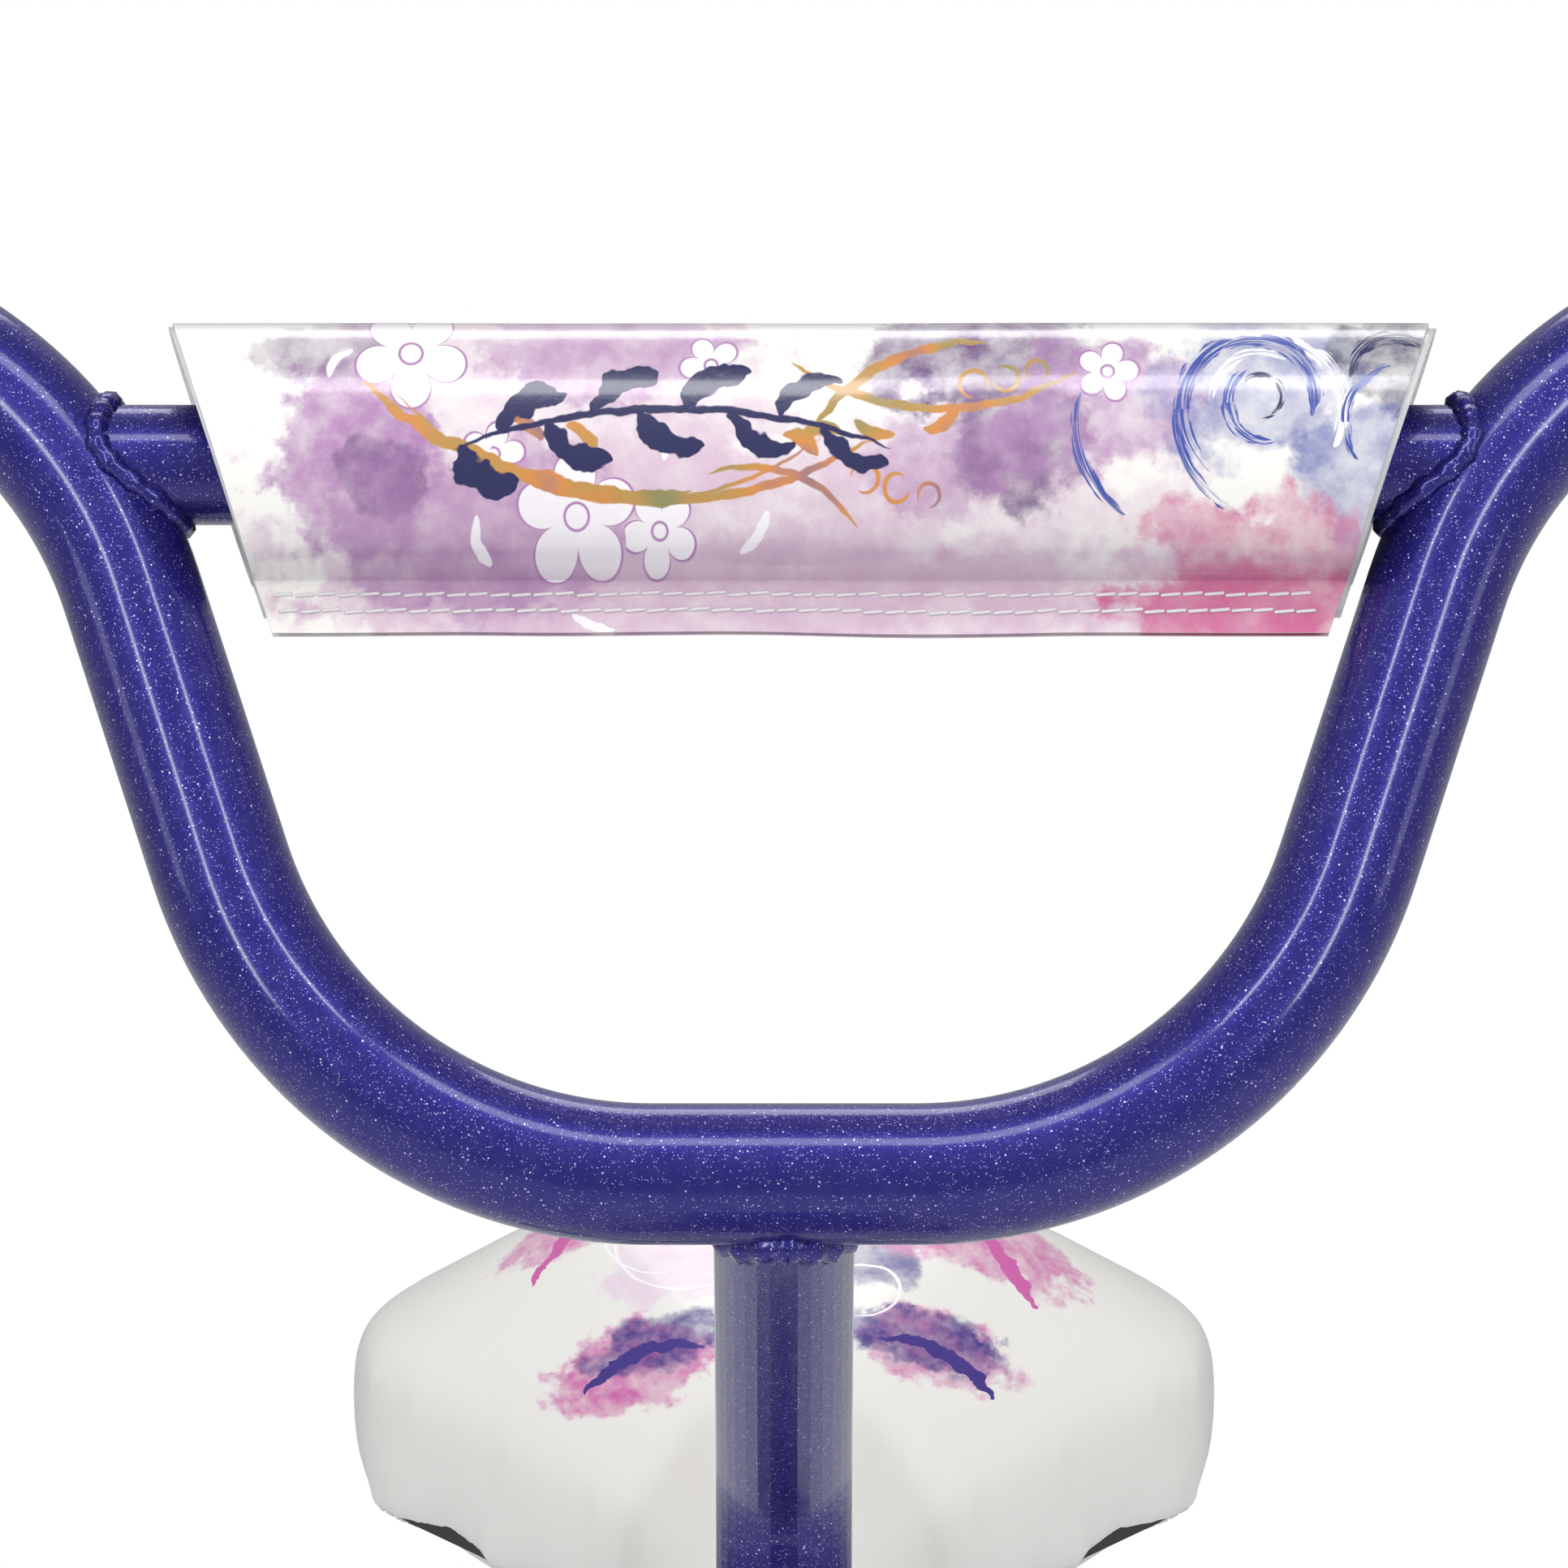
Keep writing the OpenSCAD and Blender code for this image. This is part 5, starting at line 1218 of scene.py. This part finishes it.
def tube_line(node):
    """Middle, direction and radius of a straight tube's node, from its points."""
    points = np.array([v.co for v in frame["nodes"][node].data.vertices])
    centre = points.mean(0)
    along = np.linalg.eigh(np.cov((points - centre).T))[1][:, -1]
    flat = (points - centre) - np.outer((points - centre) @ along, along)
    return Vector(centre), Vector(along).normalized(), float(np.percentile(np.linalg.norm(flat, axis=1), 90))


def weld_bead(start, along, radius, target, size=1.0, steps=72):
    """A rippled bead where a tube of that line meets the target node."""
    skin = surface_of(frame["nodes"][target].data)
    side = along.orthogonal().normalized()
    other = along.cross(side)
    line = []
    for i in range(steps):
        out = ring_point(side, other, 2 * math.pi * i / steps)
        hit = skin.ray_cast(start + out * radius, along)[0]
        if hit is None:
            return None
        line.append(hit + out * 0.25 * MM - along * 0.5 * MM)
    for _ in range(2):
        line = [(line[i - 1] + line[i] * 2 + line[(i + 1) % steps]) / 4 for i in range(steps)]
    return sweep(line, sizes().bead_radius * size, 8, closed=True, ripple=0.16, ripple_count=20)


def add_welds(name, beads, body):
    beads = [bead for bead in beads if bead]
    add_piece(name, *merge(beads), body, MATERIALS["weld"])


class BIKE_OT_welds(bpy.types.Operator):
    """Weld beads round the handlebar's and the frame's joints"""
    bl_idname = "bike.welds"
    bl_label = "Weld beads"

    def execute(self, context):
        beads = [weld_bead(CROSSBAR + LEFT * side * CROSSBAR_WELD_FROM, LEFT * side, sizes().crossbar_radius,
            "handlebar", 1.1) for side in (-1, 1)]
        elbow = steer_point(0, 0, STEM_ELBOW)
        end = steer_point(BAR_CENTRE.x, 0, BAR_CENTRE.z + BAR_CORNERS[0][2])
        beads.append(weld_bead((elbow + end) / 2, (end - elbow).normalized(), 0.95 * sizes().bar_radius,
            "handlebar", 1.7))
        add_welds("handlebar_welds", beads, "fork")
        beads = []
        for tube, target in FRAME_JOINTS:
            start, along, radius = tube_line(tube)
            if along.dot(middle(target) - start) < 0:
                along = -along
            beads.append(weld_bead(start, along, radius, target))
        add_welds("frame_welds", beads, "frame")
        return {"FINISHED"}


# ---------------------------------------------------------------------------------------------
# Stage

FLOOR_AHEAD = 1.6
FLOOR_RADIUS = 3.85
FLOOR_GAP = 0.4 * MM
SURROUND_LIGHT = 0.40
STRIP_TURN, STRIP_RISE, STRIP_AWAY = math.radians(30), math.radians(29), 1.9
CAMERA_LEAN = math.radians(11.2)
CAMERA_AWAY = 2.2
CAMERA_RISE = 61 * MM
CAMERA_LENS = 323
BAR_FOOT = steer_point(BAR_CENTRE.x, 0, 549.2 * MM)


def add_object(name, data, place, look):
    """An object that looks along a direction, for a lamp or a camera."""
    thing = bpy.data.objects.new(name, data)
    thing.location = place
    thing.rotation_euler = look.to_track_quat("-Z", "Y").to_euler()
    bpy.context.scene.collection.objects.link(thing)
    return thing


def area_light(name, step, width, height, power):
    """A rectangular light a step away from the handlebar's foot, turned towards it."""
    data = bpy.data.lights.new(name, "AREA")
    data.shape = "RECTANGLE"
    data.size, data.size_y, data.energy = width, height, power
    add_object(name, data, BAR_FOOT + step, -step)


def add_floor(rings=10, steps=96):
    """A flat round floor, just under the tyres."""
    verts = [Vector((FLOOR_AHEAD, 0, 0))]
    for r in range(1, rings + 1):
        for s in range(steps):
            out = Vector((math.cos(2 * math.pi * s / steps), math.sin(2 * math.pi * s / steps), 0))
            verts.append(verts[0] + out * FLOOR_RADIUS * r / rings)
    faces = [(0, 1 + s, 1 + (s + 1) % steps) for s in range(steps)]
    for r in range(rings - 1):
        for s in range(steps):
            a, b = 1 + r * steps + s, 1 + r * steps + (s + 1) % steps
            faces.append((a, a + steps, b + steps, b))
    paper = grained("pale_floor", tuple(colours().backdrop), 0.75, 0.06, 60.0, 0.02, tint=0.01)
    floor = add_piece("floor", verts, faces, None, paper)
    floor.location.z = -FLOOR_GAP


def add_surround(scene):
    """A white surround that lights the bicycle less than the camera sees it."""
    scene.world = bpy.data.worlds.new("surround")
    scene.world.use_nodes = True
    tree = scene.world.node_tree
    tree.nodes.clear()
    lit, seen = (wire(tree, "ShaderNodeBackground", {"Color": (1, 1, 1, 1), "Strength": strength})
        for strength in (SURROUND_LIGHT, 1.0))
    camera_ray = wire(tree, "ShaderNodeLightPath", output="Is Camera Ray")
    mixed = wire(tree, "ShaderNodeMixShader", {0: camera_ray, 1: lit, 2: seen})
    add_node(tree, "ShaderNodeOutputWorld", {0: mixed})


def add_camera(scene):
    view = Vector((math.cos(CAMERA_LEAN), 0, math.sin(CAMERA_LEAN)))
    up = Vector((-math.sin(CAMERA_LEAN), 0, math.cos(CAMERA_LEAN)))
    lens = bpy.data.cameras.new("camera")
    lens.sensor_width, lens.lens = 36, CAMERA_LENS
    lens.clip_start, lens.clip_end = 0.02, 60
    scene.camera = add_object("camera", lens, BAR_FOOT + up * CAMERA_RISE + view * CAMERA_AWAY, -view)


class BIKE_OT_stage(bpy.types.Operator):
    """Pale round floor, soft studio lights, a white surround and the camera"""
    bl_idname = "bike.stage"
    bl_label = "Stage"

    def execute(self, context):
        scene = context.scene
        add_floor()
        add_surround(scene)
        for name, side in (("strip_left", 1), ("strip_right", -1)):
            away = Vector((math.cos(STRIP_TURN), side * math.sin(STRIP_TURN), 0)) * math.cos(STRIP_RISE)
            away.z = math.sin(STRIP_RISE)
            area_light(name, away * STRIP_AWAY, 0.10, 1.5, 11)
        area_light("side_left", Vector((0.7, 2.2, 0.6)), 0.5, 1.6, 6)
        area_light("side_right", Vector((0.7, -2.2, 0.6)), 0.5, 1.6, 6)
        area_light("top_soft", Vector((0.9, 0, 2.1)), 1.6, 0.5, 17)
        area_light("back_top", Vector((-1.6, 0, 1.6)), 1.4, 0.7, 10)
        add_camera(scene)
        scene.view_settings.view_transform = "Standard"
        scene.view_settings.look = "None"
        return {"FINISHED"}


# ---------------------------------------------------------------------------------------------
# Panel and start

class BIKE_PT_panel(bpy.types.Panel):
    bl_label = "Bicycle"
    bl_idname = "BIKE_PT_panel"
    bl_space_type = "VIEW_3D"
    bl_region_type = "UI"
    bl_category = "Bicycle"

    def draw(self, context):
        for group in (context.scene.bike_sizes, context.scene.bike_colours):
            for name in group.bl_rna.properties.keys():
                if name not in ("rna_type", "name"):
                    self.layout.prop(group, name)
        for step in STEPS:
            self.layout.operator(step.bl_idname)


STEPS = (BIKE_OT_materials, BIKE_OT_handlebar, BIKE_OT_pad, BIKE_OT_saddle, BIKE_OT_tyres, BIKE_OT_welds,
    BIKE_OT_stage)
CLASSES = (BikeSizes, BikeColours, *STEPS, BIKE_PT_panel)


def register():
    for cls in CLASSES:
        bpy.utils.register_class(cls)
    bpy.types.Scene.bike_sizes = bpy.props.PointerProperty(type=BikeSizes)
    bpy.types.Scene.bike_colours = bpy.props.PointerProperty(type=BikeColours)


def unregister():
    del bpy.types.Scene.bike_colours
    del bpy.types.Scene.bike_sizes
    for cls in reversed(CLASSES):
        bpy.utils.unregister_class(cls)


def main():
    register()
    bpy.ops.bike.materials()
    bpy.ops.bike.handlebar()
    bpy.ops.bike.pad()
    bpy.ops.bike.saddle()
    bpy.ops.bike.tyres()
    bpy.ops.bike.welds()
    bpy.ops.bike.stage()


if __name__ == "__main__":
    main()
